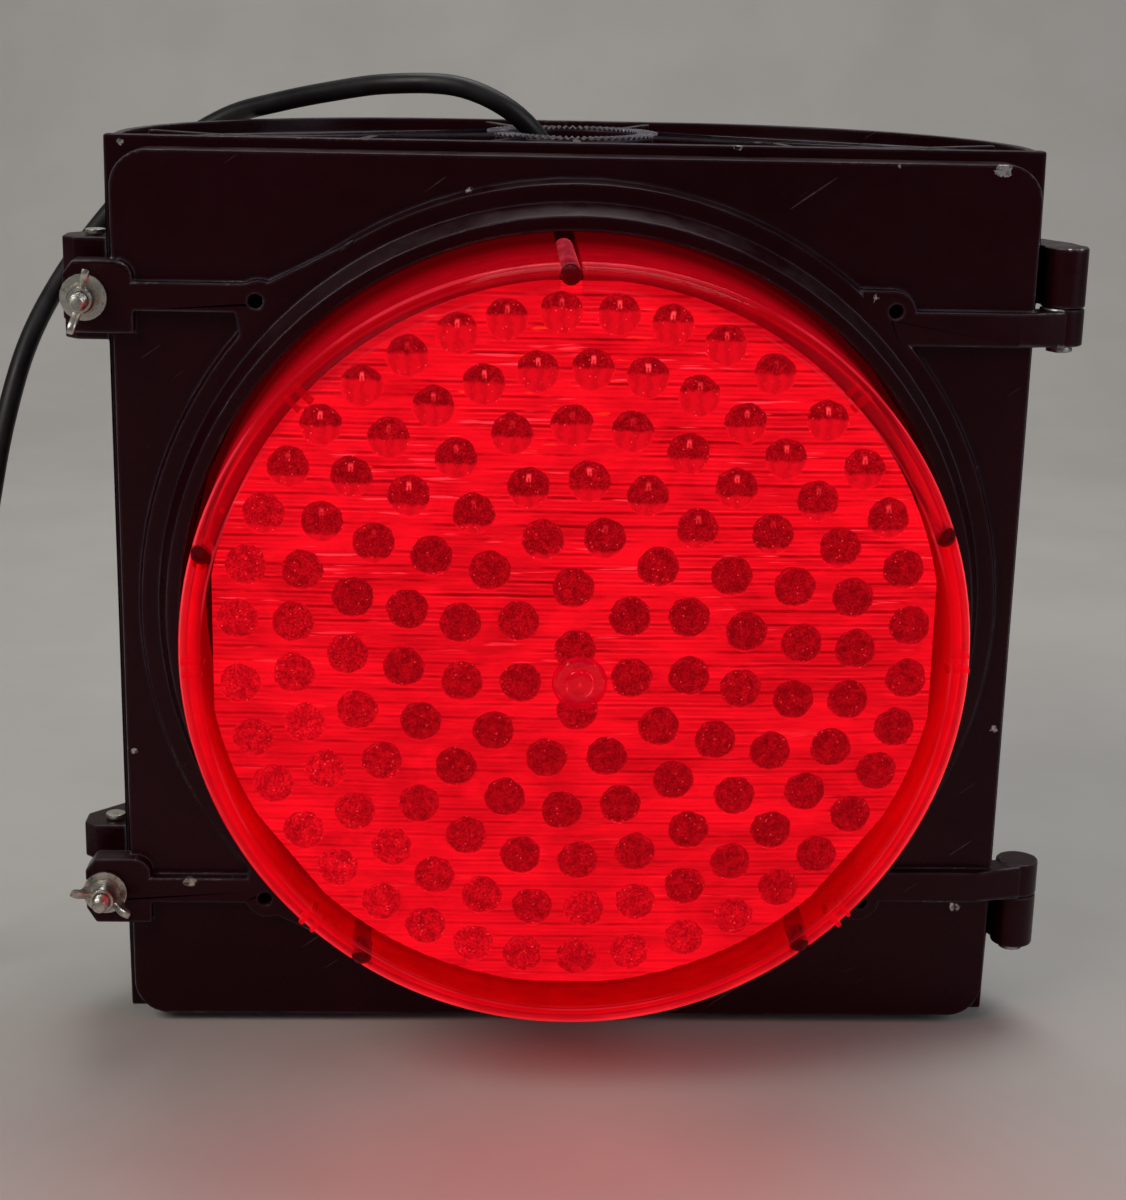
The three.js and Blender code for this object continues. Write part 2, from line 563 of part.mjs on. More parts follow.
function ledModule() {
  piece('outer_lens', outerLens(), redLens);
  piece('lens_gasket', turned([[149.6, -17.3], [155.4, -17.3], [155.4, -15], [149.6, -15],
    [149.6, -17.3]], 0, AXIS_Z, 36), rubber);
  piece('module_shell', moduleShell(), blackPlastic);
  piece('inner_optic', innerOptic(), redLens);
  piece('led_board', rodY(134, BOARD_Y, BOARD_Y + 1.6, 0, AXIS_Z, 48), circuit);
  piece('driver_board', block(-48, 40, AXIS_Z - 34, 48, 41.6, AXIS_Z + 34), circuit);
  piece('driver_transformer', block(-34, 16, AXIS_Z - 16, -2, 39.7, AXIS_Z + 12), yellowCore);
  piece('driver_capacitor', rodY(7, 12, 39.7, 26, AXIS_Z - 14), blackPlastic);
  CLIP_ANGLES.forEach((angle, i) => {
    const [x, z] = polar(angle, CLIP_R - 4);
    const [sx, sz] = polar(angle, CLIP_R);
    const plate = new THREE.BoxGeometry(20, CLIP_T, 13).rotateY(-deg(angle));
    plate.translate(x, SHELL_FLANGE[1] + GAP + CLIP_T / 2, z);
    piece(`module_clip_${i + 1}`, cut(solid(plate), rodY(2.5, -12, 0, sx, sz, 16)), zinc);
    const seat = SHELL_FLANGE[1] + CLIP_T + 2 * GAP;
    piece(`module_clip_screw_${i + 1}`, backScrew(sx, sz, seat, 4, 2.2, 2.1, -21), zinc);
  });
  for (let i = 0; i < POSTS; i += 1) {
    const [x, z] = polar(FIRST_POST + (360 / POSTS) * i, POST_R);
    piece(`module_screw_${i + 1}`, backScrew(x, z, SHELL_FLANGE[1] + GAP, 2.6, 1.8, 1.5, -23), zinc);
  }
}

// a screw along Y whose head faces the back
function backScrew(x, z, headFace, headR, headH, shankR, tipY) {
  return join(
    turned([[0, headFace], [headR, headFace], [headR, headFace + headH * 0.4],
      [headR * 0.7, headFace + headH], [0, headFace + headH]], x, z, 12),
    rodY(shankR, tipY, headFace + 0.1, x, z, 6),
  );
}

// ---------------------------------------------------------------- latches
function swingBolt(z) {
  const eye = rodZ(5.6, z - 4, z + 4, LATCH_X, LATCH_PIVOT_Y, 20);
  const shank = rodY(BOLT_R, BOLT_END_Y + 0.8, LATCH_PIVOT_Y, LATCH_X, z, 16);
  const tip = rodY(BOLT_R - 0.6, BOLT_END_Y, BOLT_END_Y + 0.9, LATCH_X, z, 12);
  const hole = rodZ(LATCH_PIN_R + 2 * GAP, z - 6, z + 6, LATCH_X, LATCH_PIVOT_Y, 14);
  return cut(join(eye, shank, tip), hole);
}

function washer(z) {
  const disc = rodY(WASHER_R, WASHER_Y - 1.4, WASHER_Y, LATCH_X, z, 24);
  return cut(disc, rodY(BOLT_R + GAP, -60, 0, LATCH_X, z, 12));
}

// turn: the angle at which the wings stand, from the horizontal
function wingNut(z, turn) {
  const y = NUT_SEAT_Y;
  const hub = turned([[0, y], [6, y], [5.9, y - 2], [4.9, y - 8], [0, y - 8]], LATCH_X, z, 18);
  const outline = new THREE.Shape();
  outline.moveTo(3.6, 0.6);
  outline.quadraticCurveTo(8, 0.8, 8.8, 4.6);
  outline.quadraticCurveTo(9.6, 9.2, 11.2, 10);
  outline.quadraticCurveTo(12.5, 10.8, 12.2, 12.6);
  outline.quadraticCurveTo(9.6, 13.6, 7.2, 10.8);
  outline.quadraticCurveTo(5.2, 8.4, 3.6, 7);
  outline.closePath();
  const wings = [0, 180].map((half) => {
    const g = new THREE.ExtrudeGeometry(outline, { depth: 2.6, bevelEnabled: false, curveSegments: 3 });
    g.translate(0, 0, -1.3).scale(1, -0.92, 1).rotateY(deg(half + turn)).translate(LATCH_X, y, z);
    return solid(g);
  });
  return cut(join(hub, ...wings), rodY(BOLT_R + GAP, -70, 0, LATCH_X, z, 12));
}

function latches() {
  ['upper', 'lower'].forEach((name, i) => {
    const z = LATCH_Z[i];
    piece(`swing_bolt_${name}`, swingBolt(z), zinc);
    piece(`washer_${name}`, washer(z), zinc);
    piece(`wing_nut_${name}`, wingNut(z, WING_ANGLES[i]), zinc);
    const ear = z + EAR_HALF + EAR_T;
    piece(`latch_pin_${name}`, join(
      rodZ(LATCH_PIN_R, z - EAR_HALF - EAR_T, ear + 0.4, LATCH_X, LATCH_PIVOT_Y, 20),
      rodZ(4, ear + GAP, ear + 2.3, LATCH_X, LATCH_PIVOT_Y, 20)), zinc);
  });
}

function hingePins() {
  HINGES.forEach((z, i) => {
    const low = Math.min(z[0], z[2]);
    const high = Math.max(z[1], z[3]);
    piece(`hinge_pin_${['upper', 'lower'][i]}`, join(
      rodZ(HINGE_PIN_R, low - 2, high - PIN_COVER - GAP, HINGE_X, HINGE_Y, 24),
      rodZ(5, low - 2.6, low - GAP, HINGE_X, HINGE_Y, 24)), steel);
  });
}

// ---------------------------------------------------------------- mains lead
// from the clamp inside, out of the top ring, over the back corner and down to the floor
const CORD_ROUTE = [
  [-19, 97.6, 269.1], [-18.5, 95.8, 284], [-15.1, 88, 301], [-6.1, 67, 324.5], [-9.3, 54.7, 345.5],
  [-22.3, 48, 361.9], [-43.7, 47.5, 372.4], [-72.9, 57.2, 373], [-100, 73, 368.3], [-122, 86, 363],
  [-140, 94.5, 357.6], [-157, 98, 348.5], [-177, 97, 333], [-195, 88, 313], [-210, 71, 291],
  [-221, 51, 267], [-228.5, 33, 236], [-235, 22, 198], [-242, 15, 160], [-251, 12, 122],
  [-260.5, 12, 86], [-269.6, 12.4, 54], [-274.8, 12.7, 37], [-279.2, 12.9, 26.6], [-289.2, 13.1, 14.7],
  [-302.7, 13.3, 6.9], [-318, 13.4, 4.25], [-328, 13.3, 4.15],
];

function coilSolids() {
  const { x, y, turnD, rows, lift } = COIL;
  const half = CORD_D * rows / 2;
  const [inner, outer, low, high] = [turnD / 2 - half, turnD / 2 + half, lift, lift + 2 * half];
  const ring = new THREE.LatheGeometry([[inner, low], [outer, low], [outer, high], [inner, high],
    [inner, low]].map(([r, h]) => V2(r, h)), 36).rotateX(Math.PI / 2).translate(x, y, 0);
  piece('supply_cord_coil', solid(ring), jacket);
  const band = cut(block(-half - 1.7, -4, 0.1, half + 1.7, 4, high + 1.5),
    block(-half - 0.6, -5, low - 0.4, half + 0.6, 5, high + 0.4));
  piece('coil_tie', band.translate(turnD / 2, 0, 0).rotate([0, 0, 200]).translate(x, y, 0), rubber);
}

// three-pin plug lying beside the coil
function plug() {
  const { x, y, z, length, side } = PLUG;
  const h = side / 2;
  const relief = new THREE.CylinderGeometry(7.5, 5.4, 18, 16).rotateZ(-Math.PI / 2);
  const body = join(block(x, y - h, z - h, x + length, y + h, z + h),
    solid(relief.translate(x - 8.5, y, z)));
  piece('plug_body', body, jacket);
  const face = x + length + GAP;
  const blades = { plug_blade_line: -6.35, plug_blade_neutral: 6.35 };
  Object.entries(blades).forEach(([name, dy]) => {
    piece(name, block(face, y + dy - 0.75, z + 2.8, face + 17, y + dy + 0.75, z + 9.1), brass);
  });
  const pin = new THREE.CylinderGeometry(2.4, 2.4, 20, 12).rotateZ(Math.PI / 2);
  piece('plug_earth_pin', solid(pin.translate(face + 10, y, z - 6)), brass);
}

function mainsLead() {
  piece('supply_cord', tube(CORD_ROUTE, CORD_D / 2, 8, 48), jacket);
  coilSolids();
  const tail = [[-327.6, -105.4, 13], [-320, -105.9, 13.6], [PLUG.x - 17.8, PLUG.y, PLUG.z]];
  piece('supply_cord_tail', tube(tail, CORD_D / 2, 8, 3), jacket);
  plug();
}

// ---------------------------------------------------------------- the whole head
piece('housing', housing(), blackPaint);
piece('door', door(), blackPaint);
piece('door_gasket', doorGasket(), rubber);
ledModule();
moduleLead();
latches();
hingePins();
wiring();
mainsLead();

export default part;
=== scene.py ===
"""Traffic signal head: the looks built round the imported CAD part.

Metres, +Z up. The lens faces -Y and the hinges are on the +X side.
"""

import math
import random

import bmesh
import bpy
from mathutils import Matrix, Vector


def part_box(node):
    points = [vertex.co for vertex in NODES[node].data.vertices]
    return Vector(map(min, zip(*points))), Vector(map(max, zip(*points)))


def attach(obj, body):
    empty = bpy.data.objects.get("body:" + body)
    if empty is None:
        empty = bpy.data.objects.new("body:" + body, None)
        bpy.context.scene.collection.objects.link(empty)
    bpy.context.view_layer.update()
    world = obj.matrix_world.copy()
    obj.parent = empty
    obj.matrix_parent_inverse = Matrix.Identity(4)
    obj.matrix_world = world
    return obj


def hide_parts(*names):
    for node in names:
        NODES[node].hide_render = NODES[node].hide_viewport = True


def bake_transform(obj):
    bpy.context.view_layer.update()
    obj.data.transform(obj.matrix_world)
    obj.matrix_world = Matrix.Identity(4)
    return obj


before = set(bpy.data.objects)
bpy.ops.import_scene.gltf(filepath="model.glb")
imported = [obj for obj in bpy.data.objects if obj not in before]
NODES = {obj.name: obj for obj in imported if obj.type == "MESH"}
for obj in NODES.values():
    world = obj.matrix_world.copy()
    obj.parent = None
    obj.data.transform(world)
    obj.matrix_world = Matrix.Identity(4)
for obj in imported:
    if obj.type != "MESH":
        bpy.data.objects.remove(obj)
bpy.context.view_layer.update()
MM = 0.001

# ---------------- driving dimensions
AXIS_Z = 177 * MM                    # optical axis, at x = 0
LENS_LOW, LENS_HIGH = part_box("outer_lens")
DOME_Y = -116.4 * MM                 # crown of the lens, less its moulding gate
FIELD_Y = -97.4 * MM
FIELD_R = 135 * MM
SHOULDER_Y = -88 * MM
LENS_R = 143.9 * MM
LENS_FOOT_R = 146.2 * MM
LENS_WALL = 3 * MM
FLANGE_R = 154.5 * MM
POST_R = 140.2 * MM
POSTS = 5
FIRST_POST = 92.1                    # degrees from +X, a little past the top
OPTIC_Y = -72 * MM                   # rim of the inner optic, whose middle stands forward
OPTIC_R = 136 * MM
OPTIC_SAG = 4 * MM
FLUTE = 3.15 * MM                    # pitch of the flutes across the optic
LENSLET_R = 7.8 * MM
# rings of lenslets: radius, how many, and the angle of the first, clockwise from the top
LENSLET_RINGS = [(23.7, 6, -3), (43.6, 12, 13), (63.6, 18, 3.3), (84.0, 24, -2), (104.2, 33, 2.3)]
OUTER_RING = 124.5                   # the last ring is not evenly spaced
OUTER_ANGLES = [6, 15, 24.5, 34, 46, 56.5, 66, 75.5, 85.5, 95, 104, 112.5, 121.5, 131, 140, 149.5, 159,
                169, 178.5, 188, 197, 206, 215, 225, 234, 244, 253, 263, 274.5, 284, 293.5, 302.5,
                311.5, 321, 330, 339, 347.5, 356.5]

CORD_D = 8.2 * MM
COIL_X, COIL_Y = -338 * MM, -46 * MM
COIL_R = 47 * MM                     # middle of the coil's turns
COIL_LIFT = 1.6 * MM

BOSS_Y = 54 * MM                     # serrated rings in the top and the bottom
BOSS_R = 35 * MM
BOSS_HOLE_R = 26.2 * MM
TEETH = 72

LATCHES = {"upper": (298 * MM, 74), "lower": (60 * MM, -23)}   # height, angle of the wings
LATCH_X = -183.5 * MM
BOLT_R = 3.17 * MM
THREAD = 1.27 * MM


def link(obj):
    bpy.context.scene.collection.objects.link(obj)
    return obj


# ---------------- camera
def make_camera():
    data = bpy.data.cameras.new("camera")
    data.lens = 67.08
    data.sensor_width = 36
    cam = link(bpy.data.objects.new("camera", data))
    heading, pitch, roll = (math.radians(a) for a in (-2.33, 15.77, 1.27))
    turn = (Matrix.Rotation(heading, 4, "Z") @ Matrix.Rotation(math.pi / 2 - pitch, 4, "X")
            @ Matrix.Rotation(roll, 4, "Z"))
    cam.matrix_world = Matrix.Translation((-0.037, -0.865, 0.419)) @ turn
    bpy.context.scene.camera = cam


make_camera()

# ---------------- the mains lead
# from the clamp inside, out of the top ring, over the back corner and down to the floor
CORD_ROUTE = [
    (-19, 97.6, 269.1), (-18.5, 95.8, 284), (-15.1, 88, 301), (-6.1, 67, 324.5),
    (-9.3, 54.7, 345.5), (-22.3, 48, 361.9), (-43.7, 47.5, 372.4), (-72.9, 57.2, 373),
    (-100, 73, 368.3), (-122, 86, 363), (-140, 94.5, 357.6), (-157, 98, 348.5), (-177, 97, 333),
    (-195, 88, 313), (-210, 71, 291), (-221, 51, 267), (-228.5, 33, 236), (-235, 22, 198),
    (-242, 15, 160), (-251, 12, 122), (-260.5, 12, 86), (-269.6, 12.4, 54), (-274.8, 12.7, 37),
    (-279.2, 12.9, 26.6), (-289.2, 13.1, 14.7), (-302.7, 13.3, 6.9), (-318, 13.4, 4.25),
    (-328, 13.3, 4.15),
]
CORD_TAIL = [(-319, -106, 13.7), (-305, -106, 14)]


def smooth_step(x, low, high):
    t = min(1.0, max(0.0, (x - low) / (high - low)))
    return t * t * (3 - 2 * t)


def coil_turns():
    """Four turns, two beside and two on top, wound inwards, up and outwards."""
    points = []
    for angle in range(100, 1361, 20):
        radius = COIL_R + CORD_D / 2
        radius += 9 * MM * (1 - smooth_step(angle, 80, 150))
        radius -= CORD_D * smooth_step(angle, 440, 510)
        radius += CORD_D * smooth_step(angle, 1040, 1100)
        radius += 9 * MM * smooth_step(angle, 1290, 1360)
        height = COIL_LIFT + CORD_D / 2 - 1.5 * MM * (1 - smooth_step(angle, 80, 150))
        height += CORD_D * smooth_step(angle, 740, 800) - 0.7 * MM * smooth_step(angle, 1300, 1360)
        a = math.radians(angle)
        points.append((COIL_X + radius * math.cos(a), COIL_Y + radius * math.sin(a), height))
    return points


def catmull(points, step):
    """Points about step apart on a centripetal Catmull-Rom curve through the given ones."""
    p = [Vector(q) for q in points]
    p = [p[0] * 2 - p[1]] + p + [p[-1] * 2 - p[-2]]
    out = []
    for p0, p1, p2, p3 in zip(p, p[1:], p[2:], p[3:]):
        t1 = (p1 - p0).length ** 0.5
        t2 = t1 + (p2 - p1).length ** 0.5
        t3 = t2 + (p3 - p2).length ** 0.5
        count = max(1, round((p2 - p1).length / step))
        for i in range(count):
            t = t1 + (t2 - t1) * i / count
            a1 = p0 * ((t1 - t) / t1) + p1 * (t / t1)
            a2 = p1 * ((t2 - t) / (t2 - t1)) + p2 * ((t - t1) / (t2 - t1))
            a3 = p2 * ((t3 - t) / (t3 - t2)) + p3 * ((t - t2) / (t3 - t2))
            b1 = a1 * ((t2 - t) / t2) + a2 * (t / t2)
            b2 = a2 * ((t3 - t) / (t3 - t1)) + a3 * ((t - t1) / (t3 - t1))
            out.append(b1 * ((t2 - t) / (t2 - t1)) + b2 * ((t - t1) / (t2 - t1)))
    return out + [p[-2]]


def metres(points):
    return [Vector(q) * MM for q in points]


def curve_piece(name, points, radius):
    data = bpy.data.curves.new(name, "CURVE")
    data.dimensions = "3D"
    data.bevel_depth = 1  # metre, times each point's radius, which is what the curve's box is measured with
    data.bevel_resolution = 6
    data.use_fill_caps = True
    spline = data.splines.new("POLY")
    spline.points.add(len(points) - 1)
    for point, place in zip(spline.points, points):
        point.co = (*place, 1)
        point.radius = radius
    spline.use_smooth = True
    return link(bpy.data.objects.new(name, data))


def make_cord():
    points = catmull(metres(CORD_ROUTE) + coil_turns() + metres(CORD_TAIL), 4 * MM)
    lead = curve_piece("mains_lead", points, CORD_D / 2)
    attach(lead, "housing")
    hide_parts("supply_cord", "supply_cord_coil", "supply_cord_tail")
    length = sum((b - a).length for a, b in zip(points, points[1:]))
    return lead


MAINS_LEAD = make_cord()


# ---------------- shader trees
class Tree:
    """A material and short names for the nodes that it is made of."""

    def __init__(self, name, coordinates="Object"):
        self.material = bpy.data.materials.new(name)
        self.material.use_nodes = True
        self.nodes = self.material.node_tree.nodes
        self.links = self.material.node_tree.links
        self.skin = self.nodes["Principled BSDF"]
        self.place = self.node("TexCoord").outputs[coordinates]

    def node(self, kind, inputs=None, **settings):
        n = self.nodes.new("ShaderNode" + kind)
        for key, value in settings.items():
            setattr(n, key, value)
        for key, value in (inputs or {}).items():
            self.feed(n.inputs[key], value)
        return n

    def feed(self, socket, value):
        if isinstance(value, bpy.types.NodeSocket):
            self.links.new(value, socket)
        elif socket.type == "RGBA" and len(value) == 3:
            socket.default_value = (*value, 1)
        else:
            socket.default_value = value

    def set(self, **values):
        """Feeds the Principled shader, with its input names in snake case."""
        for key, value in values.items():
            name = key.replace("_", " ").title().replace("Ior", "IOR")
            self.feed(self.skin.inputs[name], value)

    def stretched(self, x, y, z):
        return self.node("Mapping", {"Vector": self.place, "Scale": (x, y, z)}).outputs[0]

    def noise(self, scale, detail=4, rough=0.55, place=None, distortion=0.0):
        """place is a stretch along x, y and z, or a vector output."""
        if isinstance(place, tuple):
            place = self.stretched(*place)
        return self.node("TexNoise", {
            "Vector": place or self.place, "Scale": scale, "Detail": detail,
            "Roughness": rough, "Distortion": distortion}).outputs["Fac"]

    def cells(self, scale, place=None, feature="F1", output="Distance"):
        return self.node("TexVoronoi", {"Vector": place or self.place, "Scale": scale},
                         feature=feature).outputs[output]

    def math(self, operation, a, b=0, clamp=False):
        return self.node("Math", {0: a, 1: b}, operation=operation, use_clamp=clamp).outputs[0]

    def times(self, *values):
        total = values[0]
        for value in values[1:]:
            total = self.math("MULTIPLY", total, value)
        return total

    def plus(self, *values):
        total = values[0]
        for value in values[1:]:
            total = self.math("ADD", total, value)
        return total

    def minus(self, a, b):
        return self.math("SUBTRACT", a, b)

    def gap(self, a, b):
        """How far apart two values are."""
        return self.math("ABSOLUTE", self.minus(a, b))

    def most(self, a, b, clamp=False):
        return self.math("MAXIMUM", a, b, clamp)

    def zigzag(self, value, peak):
        return self.math("PINGPONG", value, peak)

    def ramp(self, value, low, high, start=0, end=1):
        return self.node("MapRange", {
            "Value": value, "From Min": low, "From Max": high, "To Min": start, "To Max": end,
        }, interpolation_type="SMOOTHSTEP").outputs["Result"]

    def mix(self, share, a, b):
        n = self.node("Mix", data_type="RGBA")
        self.feed(n.inputs["Factor"], share)
        self.feed(n.inputs[6], a)
        self.feed(n.inputs[7], b)
        return n.outputs[2]

    def axis(self, name, vector=None):
        return self.node("SeparateXYZ", {"Vector": vector or self.place}).outputs[name]

    def vectors(self, operation, a, b):
        return self.node("VectorMath", {0: a, 1: b}, operation=operation).outputs["Value"]

    def normal(self, kind="Normal"):
        return self.node("NewGeometry").outputs[kind]

    def from_axis(self, x, z):
        """Distance from a line along the Y direction."""
        return self.vectors("DISTANCE", self.stretched(1, 0, 1), (x, 0, z))

    def upward(self):
        return self.axis("Z", self.normal())

    def edges(self, radius):
        """1 along the edges of the shape and 0 on its faces."""
        rounded = self.node("Bevel", {"Radius": radius}, samples=4).outputs[0]
        flat = self.vectors("DOT_PRODUCT", rounded, self.normal("True Normal"))
        return self.ramp(flat, 0.99, 0.8)

    def see_through(self, tint, share):
        """Shows what is behind, tinted, where share is less than 1."""
        passing = self.node("BsdfTransparent", {"Color": tint}).outputs[0]
        mixed = self.node("MixShader", {0: share, 1: passing, 2: self.skin.outputs[0]})
        self.links.new(mixed.outputs[0], self.nodes["Material Output"].inputs["Surface"])

    def bump(self, height, distance, strength=1):
        """Adds to the bumps that the shader already has."""
        n = self.node("Bump", {"Height": height, "Distance": distance, "Strength": strength})
        before = self.skin.inputs["Normal"]
        if before.links:
            self.links.new(before.links[0].from_socket, n.inputs["Normal"])
        self.links.new(n.outputs[0], before)


# ---------------- materials
# places where the enamel is knocked off: x, y, z and radius, in millimetres
CHIPS = [(158.5, -25, 350.5, 3.4), (119, -25, 351.2, 1.3), (-95, -3, 355.8, 3.0), (-150, -30.3, 64.5, 2.6),
         (160, -25, 53.0, 2.4), (-41, -25, 339, 1.8), (-173, -9, 330, 2.2), (171, -24, 130, 1.8),
         (-171, -25, 118, 1.6), (60, -9, 356, 2.0), (-172, -9, 353, 1.4), (112, -30.3, 302, 1.4)]


def black_paint(name="black_paint", worn=0):
    """Gloss enamel on die-cast aluminium, thin along its edges and worn through at corners, with a painted
    pale sheen along its edges and a painted red cast.
    """
    t = Tree(name)
    edge = t.edges(1.7 * MM)
    knocks = t.noise(30, 5, 0.6)
    flecks = t.noise(520, 6, 0.65)
    along = t.plus(t.times(edge, 0.62), t.times(t.ramp(knocks, 0.45, 0.75), 0.42),
                   t.times(flecks, 0.45), worn)
    rubbed = t.ramp(along, 1.02, 1.1)
    spots = t.ramp(t.plus(t.noise(140, 3, 0.5), t.times(flecks, 0.25)), 0.925, 0.945)
    slanted = t.node("Mapping", {"Vector": t.place, "Rotation": (0, -0.62, 0), "Scale": (1, 1, 0.03)},
                     vector_type="TEXTURE")
    scratch = t.ramp(t.noise(24, 2, 0.4, slanted.outputs[0]), 0.765, 0.785)
    ragged = t.times(t.noise(420, 4, 0.7), 6 * MM)
    chipped = 0
    for x, y, z, radius in CHIPS:
        away = t.vectors("DISTANCE", t.place, (x * MM, y * MM, z * MM))
        one = t.ramp(t.plus(away, ragged), (radius + 2.8) * MM, (radius + 2.5) * MM)
        chipped = t.most(chipped, t.times(one, t.ramp(flecks, 0.38, 0.5)))
    bare = t.most(t.most(rubbed, chipped),
                  t.most(spots, t.times(scratch, 0.12)), True)
    dust = t.times(t.ramp(t.upward(), 0.35, 0.95), t.ramp(t.noise(55, 6, 0.7), 0.35, 0.75), 0.22)
    # The tone varies at random; the red in it is a painted red cast of the lit lens's glow, and the pink
    # specular tint below paints that cast into the reflections.
    tone = t.mix(t.ramp(t.noise(12, 3), 0.3, 0.7), (0.0150, 0.0009, 0.0026), (0.0215, 0.0020, 0.0044))
    # Pale bluish line along the edges, lighter on upward-facing edges: partly thin paint, partly a painted
    # highlight; thin below mixes it in.
    edge_wear_and_sheen = t.times(edge, t.ramp(t.noise(45, 4), 0.3, 0.7, 0.30, 1),
                        t.ramp(t.upward(), 0.1, 0.7, 0.55, 1))
    thin = t.mix(edge_wear_and_sheen, tone, (0.235, 0.240, 0.300))
    paint = t.mix(dust, thin, (0.105, 0.085, 0.075))
    metal = t.mix(t.ramp(flecks, 0.35, 0.65), (0.30, 0.29, 0.28), (0.66, 0.64, 0.61))
    gloss = t.plus(t.ramp(t.noise(70, 6, 0.65), 0.3, 0.7, 0.24, 0.36), t.times(dust, 0.7))
    rough = t.plus(t.times(gloss, t.minus(1, bare)), t.times(bare, 0.42))
    t.set(base_color=t.mix(bare, paint, metal), metallic=t.times(bare, 0.9), roughness=rough,
          specular_ior_level=0.17, specular_tint=(1, 0.74, 0.84),
          coat_weight=t.times(t.minus(1, bare), 0.03), coat_roughness=0.14)
    t.bump(t.noise(900, 2), 0.03 * MM)
    t.bump(t.noise(38, 4), 0.4 * MM, 0.5)
    t.bump(t.minus(1, bare), 0.10 * MM)
    return t.material


def zinc():
    """Zinc-plated steel with a slightly yellow, dulled film and patches of grime."""
    t = Tree("zinc")
    film = t.noise(160, 5, 0.6)
    grime = t.ramp(t.noise(420, 6, 0.7), 0.52, 0.72)
    colour = t.mix(t.ramp(film, 0.35, 0.65), (0.58, 0.56, 0.52), (0.70, 0.68, 0.60))
    t.set(base_color=t.mix(t.times(grime, 0.75), colour, (0.10, 0.085, 0.07)), metallic=0.95,
          roughness=t.plus(t.ramp(film, 0.3, 0.7, 0.24, 0.42), t.times(grime, 0.25)))
    t.bump(t.noise(1500, 3), 0.03 * MM)
    return t.material


def steel():
    """Ground steel pin with smears of the casting's paint."""
    t = Tree("steel")
    smear = t.ramp(t.noise(120, 5, 0.7, (1, 1, 0.35)), 0.42, 0.58)
    turned_marks = t.noise(900, 2, 0.5, (0.1, 0.1, 3.0))
    t.set(base_color=t.mix(smear, (0.43, 0.42, 0.41), (0.018, 0.016, 0.017)),
          metallic=t.ramp(smear, 0, 1, 0.95, 0.2), roughness=t.ramp(turned_marks, 0.3, 0.7, 0.25, 0.45))
    t.bump(turned_marks, 0.03 * MM)
    return t.material


def brass():
    t = Tree("brass")
    tarnish = t.ramp(t.noise(300, 5, 0.65), 0.4, 0.7)
    t.set(base_color=t.mix(tarnish, (0.74, 0.54, 0.22), (0.36, 0.23, 0.09)), metallic=0.95,
          roughness=t.ramp(tarnish, 0, 1, 0.22, 0.45))
    t.bump(t.noise(1800, 3), 0.02 * MM)
    return t.material


def rubber():
    t = Tree("rubber")
    bloom = t.noise(90, 6, 0.7)
    t.set(base_color=t.mix(t.ramp(bloom, 0.35, 0.75), (0.012, 0.012, 0.012), (0.035, 0.034, 0.033)),
          roughness=t.ramp(bloom, 0.3, 0.7, 0.62, 0.85), specular_ior_level=0.3)
    t.bump(t.noise(1300, 4, 0.7), 0.05 * MM)
    return t.material


def cord_jacket():
    """Extruded black jacket: satin, with faint fine bumps and dusty patches."""
    t = Tree("cord_jacket")
    patch = t.noise(45, 5, 0.65)
    t.set(base_color=t.mix(t.ramp(patch, 0.4, 0.75), (0.0085, 0.0065, 0.0075), (0.021, 0.018, 0.019)),
          roughness=t.ramp(patch, 0.3, 0.7, 0.38, 0.56), specular_ior_level=0.45)
    t.bump(t.noise(1100, 3, 0.6), 0.03 * MM)
    t.bump(t.noise(120, 2, 0.5), 0.10 * MM)
    return t.material


def moulded(name, dark, light, roughness, grain):
    """Moulded plastic with a fine spark-eroded grain."""
    t = Tree(name)
    tone = t.noise(40, 4, 0.6)
    fine = t.noise(grain, 4, 0.7)
    t.set(base_color=t.mix(t.ramp(tone, 0.3, 0.7), dark, light),
          roughness=t.ramp(fine, 0.3, 0.7, roughness - 0.06, roughness + 0.08))
    t.bump(fine, 0.05 * MM)
    return t.material


def circuit_board():
    """Green solder mask over copper tracks, with tinned pads."""
    t = Tree("circuit_board")
    tracks = t.ramp(t.cells(110, feature="DISTANCE_TO_EDGE"), 0.10, 0.06)
    pads = t.ramp(t.cells(160), 0.17, 0.14)
    mask = t.mix(tracks, (0.006, 0.060, 0.022), (0.016, 0.115, 0.045))
    t.set(base_color=t.mix(pads, mask, (0.62, 0.60, 0.55)), metallic=t.times(pads, 0.9),
          roughness=t.ramp(t.noise(300, 3), 0.3, 0.7, 0.22, 0.38))
    t.bump(tracks, 0.05 * MM)
    return t.material


def tape_winding():
    """Yellow film tape round a transformer, and the same colour on a wire."""
    t = Tree("yellow_tape")
    laps = t.ramp(t.zigzag(t.times(t.axis("Z"), 260.0), 1), 0.42, 0.5)
    t.set(base_color=t.mix(laps, (0.62, 0.40, 0.05), (0.74, 0.52, 0.10)),
          roughness=t.ramp(t.noise(200, 3), 0.3, 0.7, 0.28, 0.42))
    t.bump(laps, 0.06 * MM)
    return t.material


def post_centres():
    """Where the lens's screw posts are, the top one first: x and z."""
    angles = [math.radians(FIRST_POST + 360 / POSTS * i) for i in range(POSTS)]
    return [(POST_R * math.cos(a), AXIS_Z + POST_R * math.sin(a)) for a in angles]


